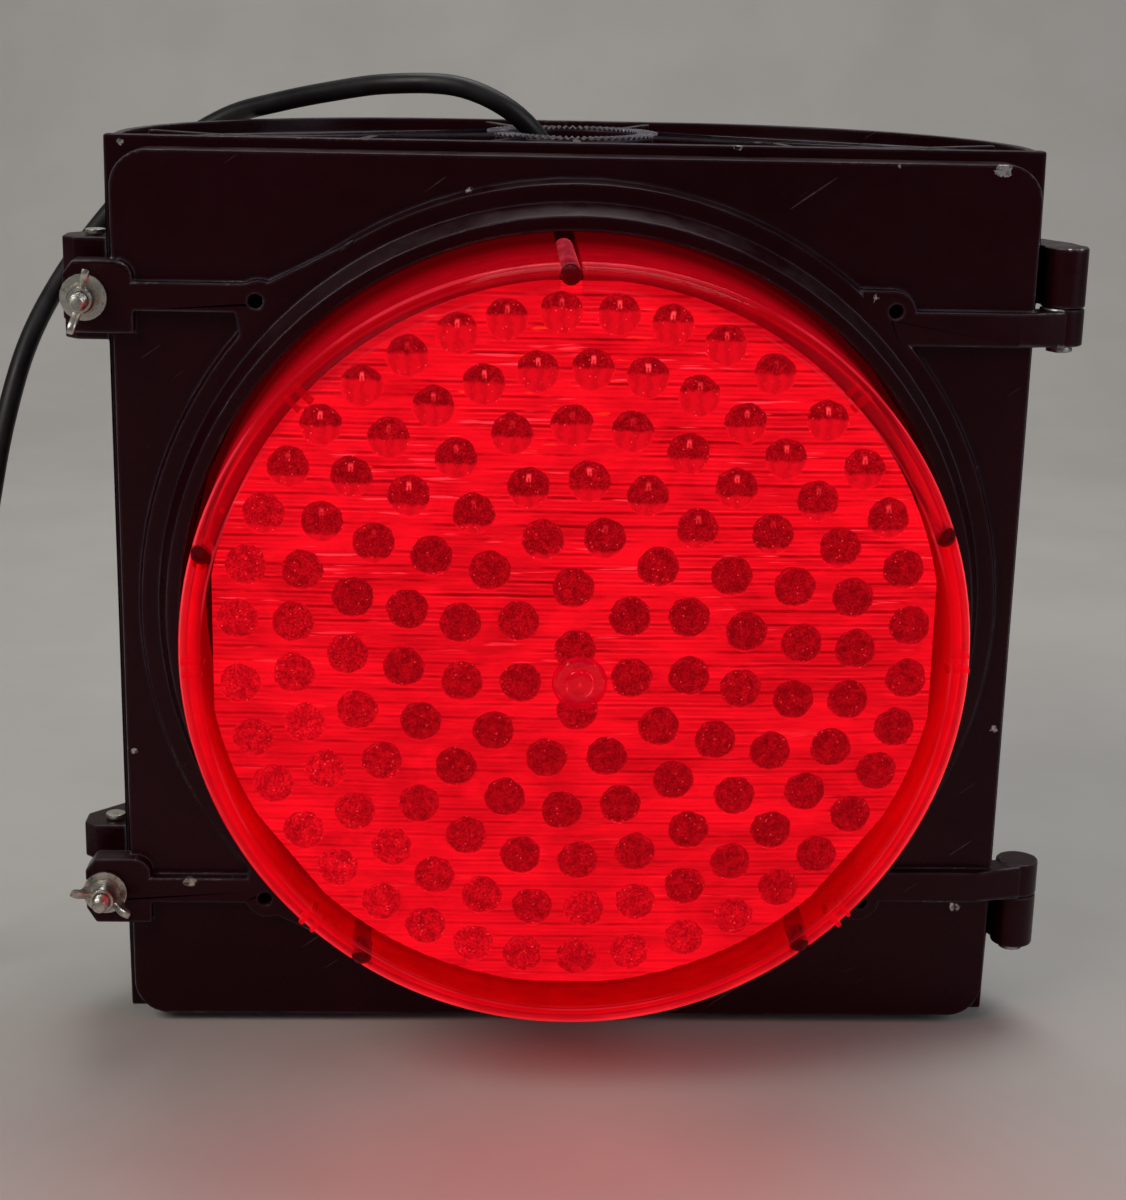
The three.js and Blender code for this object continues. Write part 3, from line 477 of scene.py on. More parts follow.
def lens_plastic():
    """Red polycarbonate: see-through face on, glossy, and with a painted glow of the lamp's light scattered
    in it, most of all at its front.
    """
    t = Tree("red_lens")
    haze = t.noise(60, 5, 0.65)
    hairs = t.ramp(t.noise(45, 2, 0.5, (3, 1, 30), 0.6), 0.70, 0.74)
    reach = t.from_axis(0, AXIS_Z)
    wall = t.ramp(reach, FIELD_R - 1 * MM, FIELD_R + 3 * MM)
    y = t.axis("Y")
    # Painted glow of the lamp's light in the wall: strongest towards the front, varied by rings and
    # mottling.
    forward = t.ramp(y, -34 * MM, -80 * MM, 0.03, 1)
    # Painted shade towards the top of the wall, under the collar.
    low = t.ramp(t.axis("Z"), AXIS_Z + 115 * MM, AXIS_Z + 10 * MM, 0.44, 1)
    rings = t.ramp(t.zigzag(t.times(y, 190.0), 1), 0.1, 0.5, 0.86, 1)
    mottle = t.ramp(t.noise(150, 4, 0.7), 0.35, 0.65, 0.88, 1.10)
    glow = t.plus(0.06, t.times(wall, forward, low, rings, t.ramp(haze, 0.3, 0.7, 0.80, 1.1), mottle, 0.60))
    # Painted glow on the outward-facing side walls at the left and right.
    spoke = t.node("Mapping", {"Vector": t.place, "Location": (0, 0, -AXIS_Z), "Scale": (1, 0, 1)})
    outward = t.vectors("DOT_PRODUCT", t.normal(), spoke.outputs[0])
    sides = t.ramp(t.math("ABSOLUTE", t.axis("X")), 100 * MM, 125 * MM)
    glow = t.plus(glow, t.times(t.ramp(outward, -0.05, -0.09), sides, 0.25))
    # Thin bright lines along the rim's two edges and the field's edge: painted highlights, pinker in colour
    # and shown only at the front.
    line = 0
    for radius, strength in ((LENS_R, 0.34), (LENS_R - 2.6 * MM, 0.12), (FIELD_R + 0.6 * MM, 0.34)):
        off = t.gap(reach, radius)
        line = t.plus(line, t.ramp(off, 0.75 * MM, 0.15 * MM, 0, strength))
    # Where a screw post stands behind the wall, the glow and the lines are cut back as a painted shadow of
    # the post, and the wall is made more see-through.
    window = 0
    for x, z in post_centres():
        window = t.plus(window, t.ramp(t.from_axis(x, z), 4.4 * MM, 3.7 * MM))
    beside = t.gap(t.axis("X"), post_centres()[0][0])
    top_window = t.times(t.ramp(beside, 4.1 * MM, 3.5 * MM),
                         t.ramp(t.axis("Z"), AXIS_Z + 131 * MM, AXIS_Z + 134 * MM))
    window = t.most(window, top_window, True)
    covered = t.minus(1, t.times(window, 0.80))
    glow, line = t.times(glow, covered), t.times(line, covered)
    line = t.times(line, t.ramp(y, -84 * MM, -87 * MM), t.ramp(t.noise(24, 3), 0.35, 0.6, 0.25, 1))
    t.set(base_color=(0.20, 0, 0.004),
          roughness=t.plus(t.ramp(haze, 0.3, 0.7, 0.03, 0.08), t.times(hairs, 0.15)),
          emission_color=t.mix(line, (1, 0.004, 0.016), (1, 0.10, 0.16)),
          emission_strength=t.plus(glow, line), specular_ior_level=0.09, specular_tint=(1, 0.30, 0.40))
    t.bump(haze, 0.08 * MM)
    facing = t.node("LayerWeight", {"Blend": 0.22}).outputs["Facing"]
    share = t.times(covered, t.plus(t.ramp(facing, 0, 1, 0.10, 0.88), t.times(wall, 0.25),
                                    t.times(hairs, 0.04), t.times(line, 0.6)))
    t.see_through((1, 0.42, 0.42), share)
    return t.material


def post_plastic():
    """Screw posts inside the lens: dark at their front ends, and for their length in the one on top."""
    t = Tree("lens_post")
    y = t.axis("Y")
    front = t.ramp(y, -80 * MM, -84 * MM)
    top = t.ramp(t.axis("Z"), AXIS_Z + 118 * MM, AXIS_Z + 124 * MM)
    streak = t.noise(260, 3, 0.6, (1, 0.2, 1))
    # The posts' emission is painted light: a painted highlight along their outline and a painted glow
    # inside that grows further back.
    outline = t.ramp(t.node("LayerWeight", {"Blend": 0.5}).outputs["Facing"], 0.70, 0.95)
    core = t.ramp(y, -84 * MM, -66 * MM, 0.03, 0.34)
    shine = t.plus(t.times(t.ramp(streak, 0.4, 0.65, 0.3, 1), core), t.times(outline, 0.26))
    t.set(base_color=(0.020, 0, 0.006), roughness=0.10,
          emission_color=t.mix(outline, (1, 0.012, 0.06), (1, 0.16, 0.26)), emission_strength=shine,
          specular_ior_level=0.5)
    t.bump(streak, 0.1 * MM)
    t.see_through((1, 0.6, 0.6), t.times(t.most(front, top), 0.92))
    return t.material


def gate_plastic():
    """The moulding gate: steps that catch the light round a bright middle."""
    t = Tree("lens_gate")
    # The bright middle and the rings on the steps are painted highlights in the emission.
    uneven = t.plus(t.from_axis(0, AXIS_Z), t.times(t.noise(260, 4, 0.7), 2.2 * MM))
    bright = t.plus(t.ramp(uneven, 2.6 * MM, 0.6 * MM, 0, 0.5), 0.42)
    for radius, strength in ((4.7, 0.26), (7.6, 0.08), (9.4, 0.12)):
        off = t.gap(uneven, (radius + 1.1) * MM)
        bright = t.plus(bright, t.times(t.ramp(off, 0.8 * MM, 0.15 * MM, 0, strength),
                                  t.ramp(t.noise(190, 3), 0.4, 0.6, 0.1, 1.3)))
    t.set(base_color=(0.25, 0, 0.01), roughness=0.08, emission_strength=bright,
          emission_color=t.mix(t.ramp(bright, 0.6, 1.1), (1, 0, 0.02), (1, 0.12, 0.18)))
    t.bump(t.noise(700, 2), 0.05 * MM)
    t.see_through((1, 0.5, 0.5), t.ramp(bright, 0.3, 0.9, 0.45, 0.95))
    return t.material


LIT_RED = (1, 0.027, 0.084)
GLINT = (1, 0.19, 0.30)


def fluted_optic():
    """The lit plate: cross flutes that come and go, cloudy patches of light, pink and amber glints."""
    t = Tree("red_optic")
    z = t.axis("Z")
    x = t.axis("X")
    high = t.ramp(z, AXIS_Z - 90 * MM, AXIS_Z + 90 * MM)
    waver = t.times(t.noise(30, 3, 0.6, (1.2, 1, 1)), 0.20)
    groove = t.zigzag(t.plus(t.times(t.minus(z, AXIS_Z), 0.6 / FLUTE), waver), 0.5)
    shown = t.ramp(t.noise(42, 4, 0.65, (0.6, 1, 1.8)), 0.36, 0.56)
    between = t.ramp(t.gap(groove, 0.36), 0.07, 0.03, 0, 0.4)
    grooves = t.times(t.plus(t.ramp(groove, 0.125, 0.065), between), shown, t.ramp(high, 0, 1, 0.30, 0.50))
    broken = t.ramp(t.noise(95, 3, 0.6, (0.2, 1, 1)), 0.45, 0.62)
    crests = t.times(t.ramp(t.gap(groove, 0.19), 0.05, 0.01), shown,
                     broken, t.ramp(high, 0, 1, 0.15, 0.55))
    streaks = t.ramp(t.noise(560, 4, 0.7, (0.07, 1, 1)), 0.44, 0.58)
    long_streaks = t.ramp(t.noise(210, 4, 0.7, (0.05, 1, 1), 0.3), 0.40, 0.58)
    clouds = t.ramp(t.noise(17, 5, 0.6, (0.7, 1, 1.4), 1.8), 0.34, 0.66)
    clear = t.ramp(t.noise(24, 4, 0.6, (0.6, 1, 1.6), 2.0), 0.52, 0.64)
    drawn = t.times(t.minus(1, t.times(clear, 0.85)), t.ramp(high, 0, 1, 0.24, 0.30))
    body = t.plus(0.63, t.times(clouds, 0.32), t.times(clear, 0.20))
    lines = t.times(t.plus(t.times(streaks, 0.55), t.times(long_streaks, 0.45)), drawn)
    light = t.minus(t.plus(body, lines), grooves)
    # Pink dashes and the pink on the flute crests are painted glints.
    dashes = t.ramp(t.noise(330, 2, 0.5, (0.09, 1, 1.5)), 0.66, 0.72)
    pink = t.most(t.times(dashes, t.ramp(high, 0.25, 0.8, 0.25, 0.95)), t.times(crests, 0.7))
    # Amber at the upper left: a painted reflection of the room's warm light on the flutes.
    corner = t.times(t.ramp(high, 0.72, 1), t.ramp(x, 70 * MM, -60 * MM))
    amber = t.times(t.ramp(t.noise(120, 3, 0.6, (0.35, 1, 2.4)), 0.64, 0.72), corner)
    colour = t.mix(amber, t.mix(pink, LIT_RED, GLINT), (1, 0.20, 0.03))
    t.set(base_color=(0.20, 0, 0.004), roughness=t.ramp(streaks, 0, 1, 0.14, 0.3),
          emission_color=colour, emission_strength=t.plus(light, t.times(pink, 0.7), t.times(amber, 0.9)))
    t.bump(t.noise(400, 3), 0.05 * MM)
    return t.material


def lenslet_plastic():
    """Round lenslets, darker than the plate between them, with seeds of light in them."""
    t = Tree("lenslet")

    def own(name):
        return t.node("Attribute", attribute_name=name).outputs["Fac"]

    across, up, shade, fill = own("across"), own("up"), own("shade"), own("fill")
    speckle = t.noise(1300, 4, 0.8)
    mottle = t.noise(300, 4, 0.7)
    seeds = t.times(t.ramp(t.cells(520), 0.20, 0.10), t.ramp(t.noise(260, 2), 0.46, 0.56))
    out = t.math("SQRT", t.plus(t.times(across, across), t.times(up, up)))
    dark = t.times(t.ramp(shade, 0, 1, 0.72, 0.34), t.ramp(speckle, 0.40, 0.62, 0.62, 1.5),
                   t.ramp(mottle, 0.35, 0.65, 0.78, 1.3))
    # light fills the foot of the higher lenslets, up to a wavering line and in petals
    line = t.plus(t.times(fill, 1.25), -1.02, t.times(t.noise(420, 2), 0.34))
    fold = t.zigzag(t.plus(t.times(across, 1.5), t.times(mottle, 1.8)), 0.5)
    petals = t.ramp(fold, 0.05, 0.4, 0.74, 1.08)
    foot = t.times(t.ramp(t.minus(up, line), 0.08, -0.12), petals)
    rim = t.times(t.ramp(out, 0.84, 0.97), t.ramp(up, 0.5, -0.7, 0.10, 0.55))
    light = t.plus(t.times(dark, t.minus(1, foot)), t.times(foot, 0.85), t.times(rim, 0.30),
                   t.times(seeds, 0.7))
    # A painted glint near the top of each higher lenslet, with a darker notch in it; pale below mixes it
    # with the lamp's seeds of light.
    spot_x = t.ramp(t.math("ABSOLUTE", t.plus(across, -0.12, t.times(mottle, 0.24))), 0.15, 0.06)
    spot_y = t.ramp(t.gap(up, 0.50), 0.26, 0.10)
    dip = t.times(t.ramp(t.math("ABSOLUTE", across), 0.07, 0.02),
                  t.ramp(t.gap(up, 0.40), 0.16, 0.08), 0.7)
    spot = t.times(spot_x, spot_y, t.minus(1, dip), t.ramp(fill, 0.05, 0.5),
                   t.ramp(t.noise(41, 2), 0.35, 0.65, 0.2, 1))
    pale = t.most(t.times(spot, 0.9), t.times(seeds, 0.6))
    t.set(base_color=(0.05, 0, 0.003), roughness=0.12,
          emission_color=t.mix(pale, LIT_RED, (1, 0.34, 0.42)),
          emission_strength=t.plus(light, t.times(spot, 1.25)))
    t.bump(speckle, 0.06 * MM)
    return t.material


def led_plastic():
    t = Tree("led")
    haze = t.noise(900, 3)
    t.set(base_color=t.mix(t.ramp(haze, 0.3, 0.7), (0.5, 0.02, 0.02), (0.75, 0.06, 0.04)),
          roughness=0.12, emission_color=LIT_RED, emission_strength=t.ramp(haze, 0.3, 0.7, 1.2, 2.0))
    return t.material


MATERIALS = {
    "black_paint": black_paint(),
    "zinc": zinc(),
    "steel": steel(),
    "brass": brass(),
    "rubber": rubber(),
    "red_lens": lens_plastic(),
    "red_optic": fluted_optic(),
    "circuit_board": circuit_board(),
    "black_plastic": moulded("black_plastic", (0.016, 0.016, 0.017), (0.028, 0.027, 0.028), 0.46, 900),
    "phenolic": moulded("phenolic", (0.030, 0.020, 0.015), (0.055, 0.038, 0.028), 0.34, 1400),
    "cord_jacket": cord_jacket(),
    "white_wire": moulded("white_wire", (0.62, 0.60, 0.55), (0.72, 0.70, 0.66), 0.42, 700),
    "yellow_tape": tape_winding(),
    "green_wire": moulded("green_wire", (0.010, 0.17, 0.045), (0.018, 0.23, 0.065), 0.42, 700),
}
LENSLET = lenslet_plastic()
LED = led_plastic()
LENS_POST = post_plastic()
LENS_GATE = gate_plastic()
WORN_PAINT = black_paint("worn_paint", 0.16)


# ---------------- mesh building
def round_angles(count):
    return [2 * math.pi * i / count for i in range(count)]


def skin(bm, rings, slot=0, ends=False):
    """Faces between each ring of vertices and the next, and over the first and the last."""
    for near, far in zip(rings, rings[1:]):
        for i in range(len(near)):
            k = (i + 1) % len(near)
            bm.faces.new((near[i], near[k], far[k], far[i])).material_index = slot
    if ends:
        bm.faces.new(rings[0][::-1]).material_index = slot
        bm.faces.new(rings[-1]).material_index = slot


def profile(y, *steps):
    """(radius, distance from y) in millimetres, as a line for turned."""
    return [(r * MM, y + d * MM) for r, d in steps]


def turned(bm, line, x, z, segments, slot=0, closed=True):
    """A line of (radius, y) turned about the Y direction through (x, z)."""
    rows = []
    for radius, y in line:
        if radius < 1e-7:
            rows.append([bm.verts.new((x, y, z))] * segments)
            continue
        rows.append([bm.verts.new((x + radius * math.cos(a), y, z + radius * math.sin(a)))
                     for a in round_angles(segments)])
    pairs = list(zip(rows, rows[1:])) + ([(rows[-1], rows[0])] if closed else [])
    for near, far in pairs:
        for i in range(segments):
            k = (i + 1) % segments
            corners = list(dict.fromkeys([near[i], near[k], far[k], far[i]]))
            if len(corners) > 2:
                bm.faces.new(corners).material_index = slot


def ring(bm, centre, side, other, radius, count):
    """Vertices on a circle in the plane of two directions."""
    return [bm.verts.new(centre + (side * math.cos(a) + other * math.sin(a)) * radius)
            for a in round_angles(count)]


def rod(bm, start, end, radius, segments, slot=0, chamfer=0):
    """A round bar between two points, with its ends chamfered."""
    start, end = Vector(start), Vector(end)
    along = (end - start).normalized()
    side = along.orthogonal().normalized()
    other = along.cross(side)
    stations = [(start, radius - chamfer), (start + along * chamfer, radius),
                (end - along * chamfer, radius), (end, radius - chamfer)]
    if not chamfer:
        stations = [stations[0], stations[3]]
    skin(bm, [ring(bm, centre, side, other, r, segments) for centre, r in stations], slot, ends=True)


def block(bm, low, high, slot=0, turn=None):
    """A box between two corners, turned by a matrix."""
    size = Vector(high) - Vector(low)
    made = bmesh.ops.create_cube(bm, size=1)["verts"]
    centre = Matrix.Translation((Vector(low) + Vector(high)) / 2)
    bmesh.ops.transform(bm, matrix=(turn or Matrix()) @ centre @ Matrix.Diagonal((*size, 1)), verts=made)
    for face in {f for v in made for f in v.link_faces}:
        face.material_index = slot


def mesh_object(name, bm, materials):
    """Ends a mesh in the making and links it as a smooth-shaded object."""
    mesh = bpy.data.meshes.new(name)
    bm.to_mesh(mesh)
    bm.free()
    for material in materials:
        mesh.materials.append(material)
    mesh.polygons.foreach_set("use_smooth", [True] * len(mesh.polygons))
    return link(bpy.data.objects.new(name, mesh))


def piece(name, bm, materials, body, nodes=(), smooth=40):
    """Turns a mesh in the making into a piece on a CAD body."""
    bmesh.ops.recalc_face_normals(bm, faces=bm.faces)
    obj = mesh_object(name, bm, materials)
    obj.data.set_sharp_from_angle(angle=math.radians(smooth))
    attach(obj, body)
    if nodes:
        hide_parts(*nodes)
    return obj


# ---------------- CAD nodes that stay
def geometry_group(name):
    """A node group for a modifier, with its input and output nodes."""
    g = bpy.data.node_groups.new(name, "GeometryNodeTree")
    g.interface.new_socket("Geometry", in_out="INPUT", socket_type="NodeSocketGeometry")
    g.interface.new_socket("Geometry", in_out="OUTPUT", socket_type="NodeSocketGeometry")
    return g, g.nodes.new("NodeGroupInput"), g.nodes.new("NodeGroupOutput")


def chain(group, *nodes):
    for near, far in zip(nodes, nodes[1:]):
        group.links.new(near.outputs[0], far.inputs["Geometry"])


def merging_group():
    """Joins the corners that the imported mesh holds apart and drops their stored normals."""
    g, start, end = geometry_group("joined_corners")
    drop = g.nodes.new("GeometryNodeRemoveAttribute")
    drop.inputs["Name"].default_value = "custom_normal"
    merge = g.nodes.new("GeometryNodeMergeByDistance")
    merge.inputs["Distance"].default_value = 0.01 * MM
    chain(g, start, drop, merge, end)
    return g


def smoothing_group():
    """Smooth shading, with edges of more than 32 degrees left sharp."""
    g, start, end = geometry_group("smooth_by_angle")
    faces = g.nodes.new("GeometryNodeSetShadeSmooth")
    edges = g.nodes.new("GeometryNodeSetShadeSmooth")
    edges.domain = "EDGE"
    edges.inputs["Shade Smooth"].default_value = False
    angle = g.nodes.new("GeometryNodeInputMeshEdgeAngle")
    compare = g.nodes.new("FunctionNodeCompare")
    compare.operation = "GREATER_THAN"
    compare.inputs[1].default_value = math.radians(32)
    g.links.new(angle.outputs["Unsigned Angle"], compare.inputs[0])
    g.links.new(compare.outputs[0], edges.inputs["Selection"])
    chain(g, start, faces, edges, end)
    return g


MERGING, SMOOTHING = merging_group(), smoothing_group()


def dress(name, slot, width):
    """Gives a CAD node its finish, rounded edges and even shading."""
    obj = NODES[name]
    for s in obj.material_slots:
        s.link = "OBJECT"
        s.material = MATERIALS[slot]
    obj.modifiers.new("joined", "NODES").node_group = MERGING
    flat = obj.modifiers.new("flat_faces", "DECIMATE")
    flat.decimate_type = "DISSOLVE"
    flat.angle_limit = math.radians(0.6)
    obj.modifiers.new("triangles", "TRIANGULATE")
    m = obj.modifiers.new("rounded_edges", "BEVEL")
    m.width = width
    m.segments = 2
    m.limit_method = "ANGLE"
    m.angle_limit = math.radians(32)
    m.use_clamp_overlap = False
    obj.modifiers.new("smooth", "NODES").node_group = SMOOTHING
    n = obj.modifiers.new("even_normals", "WEIGHTED_NORMAL")
    n.keep_sharp = True


CAD_FINISH = {
    "black_paint": {"housing": 0.8, "door": 0.8},
    "zinc": {"washer_upper": 0.2, "washer_lower": 0.2, "latch_pin_upper": 0.4, "latch_pin_lower": 0.4,
             "cable_clamp": 0.5, "cable_clamp_screw": 0.2, "earth_screw": 0.2,
             "terminal_block_screw_1": 0.2, "terminal_block_screw_2": 0.2,
             **{f"module_clip_{i}": 0.3 for i in range(1, 5)},
             **{f"module_clip_screw_{i}": 0.2 for i in range(1, 5)},
             **{f"module_screw_{i}": 0.15 for i in range(1, 6)}},
    "steel": {"hinge_pin_upper": 0.5, "hinge_pin_lower": 0.5},
    "brass": {"plug_blade_line": 0.3, "plug_blade_neutral": 0.3, "plug_earth_pin": 0.5,
              **{f"terminal_screw_{i}": 0.15 for i in range(1, 7)}},
    "rubber": {"door_gasket": 0.6, "lens_gasket": 0.3, "coil_tie": 0.4},
    "circuit_board": {"led_board": 0.1, "driver_board": 0.1},
    "black_plastic": {"module_shell": 0.4, "driver_capacitor": 0.6},
    "yellow_tape": {"driver_transformer": 0.6, "wire_neutral": 0},
    "phenolic": {"terminal_block": 0.3},
    "cord_jacket": {"cord_inner_end": 0, "plug_body": 1.6},
    "white_wire": {"wire_line": 0},
    "green_wire": {"wire_earth": 0},
}
for slot_name, group in CAD_FINISH.items():
    for node_name, bevel in group.items():
        dress(node_name, slot_name, bevel * MM)


# ---------------- serrated rings
def serrated_ring(name, height, sign):
    """V-cut teeth on the face of a hub ring; sign is 1 for the top and -1 for the bottom."""
    bm = bmesh.new()
    count = 2 * TEETH
    tooth = 1.15 * MM
    inner, outer = BOSS_HOLE_R + 0.4 * MM, BOSS_R - 0.5 * MM
    rows = []
    for radius, rise in ((inner, -0.8), (inner, 1), (outer, 1), (outer, -0.8)):
        row = []
        for i, a in enumerate(round_angles(count)):
            top = tooth * (rise if rise < 0 else (1 if i % 2 else 0.08))
            row.append(bm.verts.new((radius * math.cos(a), BOSS_Y + radius * math.sin(a),
                                     height + sign * top)))
        rows.append(row)
    skin(bm, rows + rows[:1])
    piece(name, bm, [WORN_PAINT], "housing", smooth=20)


serrated_ring("serrations_top", 354.8 * MM, 1)
serrated_ring("serrations_bottom", 1.2 * MM, -1)


# ---------------- lens
def dome_line(y0, steps):
    """A shallow cap from the axis out to the edge of the optical field."""
    sag = FIELD_Y - DOME_Y
    radius = (FIELD_R ** 2 + sag ** 2) / (2 * sag)
    return [(FIELD_R * i / steps, y0 + radius - math.sqrt(radius ** 2 - (FIELD_R * i / steps) ** 2))
            for i in range(steps + 1)]


def shoulder_line(inset, lip):
    """Round the shoulder, from the edge of the field to the side wall."""
    points = []
    if lip:
        points += [(FIELD_R + 0.7 * MM, FIELD_Y + 0.9 * MM)]
    reach = LENS_R - FIELD_R - inset
    drop = SHOULDER_Y - FIELD_Y - inset
    for i in range(1, 7):
        a = math.radians(90 - 15 * i)
        points.append((FIELD_R + reach * math.cos(a), FIELD_Y + inset + drop * (1 - math.sin(a))))
    if lip:
        points += [(LENS_R + 0.35 * MM, SHOULDER_Y + 0.5 * MM), (LENS_R + 0.1 * MM, SHOULDER_Y + 1.6 * MM)]
    return points


def lens_cup():
    bm = bmesh.new()
    flange = (LENS_HIGH.y - 3 * MM, LENS_HIGH.y)
    outer = dome_line(DOME_Y, 24) + shoulder_line(0, True)
    outer += [(LENS_FOOT_R, flange[0] - 1 * MM), (LENS_FOOT_R, flange[0]), (FLANGE_R, flange[0]),
              (FLANGE_R, flange[1])]
    inner = dome_line(DOME_Y + LENS_WALL, 24) + shoulder_line(LENS_WALL, False)
    inner += [(LENS_FOOT_R - LENS_WALL, flange[1])]
    turned(bm, outer + inner[::-1], 0, AXIS_Z, 160, closed=False)
    # moulding gate in the middle
    gate = profile(DOME_Y, (0, -2.2), (2.6, -2.5), (4.4, -2.5), (5.2, -1.9), (5.4, -0.8), (7.4, -0.6),
                   (8.4, -1.2), (9.4, -0.2), (9.8, 0.5), (0, 0.5))
    turned(bm, gate, 0, AXIS_Z, 40, slot=2, closed=False)
    # screw posts down the side wall, and short ribs across the shoulder
    for x, z in post_centres():
        rod(bm, (x, SHOULDER_Y - 3.4 * MM, z), (x, flange[0] + 1 * MM, z), 3.8 * MM, 28, 1, 1.2 * MM)
    for angle in (0, 45, 135, 180, 225, 315):
        rib = Matrix.Translation((0, 0, AXIS_Z)) @ Matrix.Rotation(-math.radians(angle), 4, "Y")
        block(bm, (134 * MM, -97.6 * MM, -0.8 * MM), (142.3 * MM, -91 * MM, 0.8 * MM), 0, rib)
        block(bm, (135 * MM, -97.2 * MM, 4.6 * MM), (142 * MM, -92 * MM, 5.8 * MM), 0, rib)
    piece("lens_cup", bm, [MATERIALS["red_lens"], LENS_POST, LENS_GATE], "door", ["outer_lens"])


lens_cup()


# ---------------- lit optic
def optic_reach(angle):
    """Edge of the optic: round above, with flats at the sides and two lower corners cut."""
    reach = OPTIC_R
    for toward, distance in ((0, 133.5), (180, 133.5), (-38, 134.5), (-142, 134.5)):
        d = math.cos(angle - math.radians(toward))
        if d > 0.5:
            reach = min(reach, distance * MM / d)
    return reach


def optic_front(x, z):
    """y of the plate's front without its flutes."""
    r2 = (x * x + (z - AXIS_Z) ** 2) / OPTIC_R ** 2
    return OPTIC_Y - OPTIC_SAG * (1 - r2)


def optic_width(z):
    """Half width of the plate at a height, on its left and right."""
    low, high = 0, OPTIC_R
    for _ in range(24):
        middle = (low + high) / 2
        angle = math.atan2(z - AXIS_Z, middle)
        inside = math.hypot(middle, z - AXIS_Z) <= optic_reach(angle)
        low, high = (middle, high) if inside else (low, middle)
    return low


def fluted_plate(bm):
    """A closed plate whose front is rows of ridges a flute apart."""
    per_flute, columns = 6, 36
    rows = int(2 * (OPTIC_R - 0.6 * MM) / FLUTE * per_flute)
    front, back = [], []
    for j in range(rows + 1):
        z = AXIS_Z - (OPTIC_R - 0.6 * MM) + 2 * (OPTIC_R - 0.6 * MM) * j / rows
        half = optic_width(z)
        crest = abs(math.sin(math.pi * (z - AXIS_Z) / FLUTE)) ** 0.7
        near, far = [], []
        for i in range(columns + 1):
            x = half * (2 * i / columns - 1)
            y = optic_front(x, z)
            near.append(bm.verts.new((x, y - 0.55 * MM * crest, z)))
            far.append(bm.verts.new((x, y + 2.2 * MM, z)))
        front.append(near)
        back.append(far)
    for grid, flip in ((front, False), (back, True)):
        for a, b in zip(grid, grid[1:]):
            for i in range(columns):
                corners = (a[i], a[i + 1], b[i + 1], b[i])
                bm.faces.new(corners[::-1] if flip else corners)
    for i in range(columns):
        bm.faces.new((front[0][i], back[0][i], back[0][i + 1], front[0][i + 1]))
        bm.faces.new((front[-1][i + 1], back[-1][i + 1], back[-1][i], front[-1][i]))
    for j in range(rows):
        bm.faces.new((front[j][0], front[j + 1][0], back[j + 1][0], back[j][0]))
        bm.faces.new((front[j + 1][-1], front[j][-1], back[j][-1], back[j + 1][-1]))


def lenslet_centres():
    places = [(radius, first + 360 * i / count) for radius, count, first in LENSLET_RINGS
              for i in range(count)]
    places += [(OUTER_RING, angle) for angle in OUTER_ANGLES]
    return [(0, AXIS_Z)] + [(radius * MM * math.sin(math.radians(angle)),
                               AXIS_Z + radius * MM * math.cos(math.radians(angle)))
                              for radius, angle in places]


def lenslets(bm, chance):
    """Round domes on the plate. Their attributes say where a point is on its dome, how dark the dome is
    and how far light fills its foot."""
    layers = {name: bm.verts.layers.float.new(name) for name in ("across", "up", "shade", "fill")}
    steps, sides, rise = 5, 28, 2.2 * MM
    for x, z in lenslet_centres():
        height = z - AXIS_Z
        faint = max(smooth_step(-height, 70 * MM, 125 * MM),
                    smooth_step(-x - 0.5 * height, 55 * MM, 125 * MM))
        shade = min(1, max(0, 0.92 - 0.62 * faint + chance.uniform(-0.16, 0.12)))
        fill = smooth_step(height, 12 * MM, 118 * MM) * chance.uniform(0.75, 1.1)
        y = optic_front(x, z)
        lobe = [chance.uniform(0, 2 * math.pi) for _ in range(2)]
        outline = []
        for a in round_angles(sides):
            r = LENSLET_R * (1 + 0.022 * math.sin(3 * a + lobe[0]) + 0.022 * math.sin(7 * a + lobe[1]))
            outline.append((r * math.cos(a), r * math.sin(a)))
        rings = []
        for k in range(steps + 1):
            share = k / steps
            r = math.sin(share * math.pi / 2)
            out = y - 0.3 * MM - rise * math.cos(share * math.pi / 2)
            rings.append([(r * u, out, r * v) for u, v in outline])
        rings.append([(dx, y + 0.6 * MM, dz) for dx, _, dz in rings[-1]])
        verts = []
        for places in rings[1:]:
            row = []
            for dx, yy, dz in places:
                v = bm.verts.new((x + dx, yy, z + dz))
                v[layers["across"]], v[layers["up"]] = dx / LENSLET_R, dz / LENSLET_R
                v[layers["shade"]], v[layers["fill"]] = shade, fill
                row.append(v)
            verts.append(row)
        top = bm.verts.new((x, rings[0][0][1], z))
        top[layers["shade"]], top[layers["fill"]] = shade, fill
        faces = [bm.faces.new((top, verts[0][i], verts[0][(i + 1) % sides])) for i in range(sides)]
        for a, b in zip(verts, verts[1:]):
            for i in range(sides):
                k = (i + 1) % sides
                faces.append(bm.faces.new((a[i], b[i], b[k], a[k])))
        faces.append(bm.faces.new(verts[-1]))
        for f in faces:
            f.material_index = 1


def lit_optic():
    bm = bmesh.new()
    fluted_plate(bm)
    lenslets(bm, random.Random(12))
    piece("lit_optic", bm, [MATERIALS["red_optic"], LENSLET], "door", ["inner_optic"], 50)


def leds():
    """A round-headed LED on the board behind each lenslet."""
    bm = bmesh.new()
    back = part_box("led_board")[0].y
    for x, z in lenslet_centres():
        bulb = profile(back, (0, -7.2), (1.3, -6.7), (2.2, -5.4), (2.5, -3.6), (2.5, -1.2), (2.9, -1.2),
                       (2.9, -0.2), (0, -0.2))
        turned(bm, bulb, x, z, 12, closed=False)
    piece("leds", bm, [LED], "door")


lit_optic()
leds()


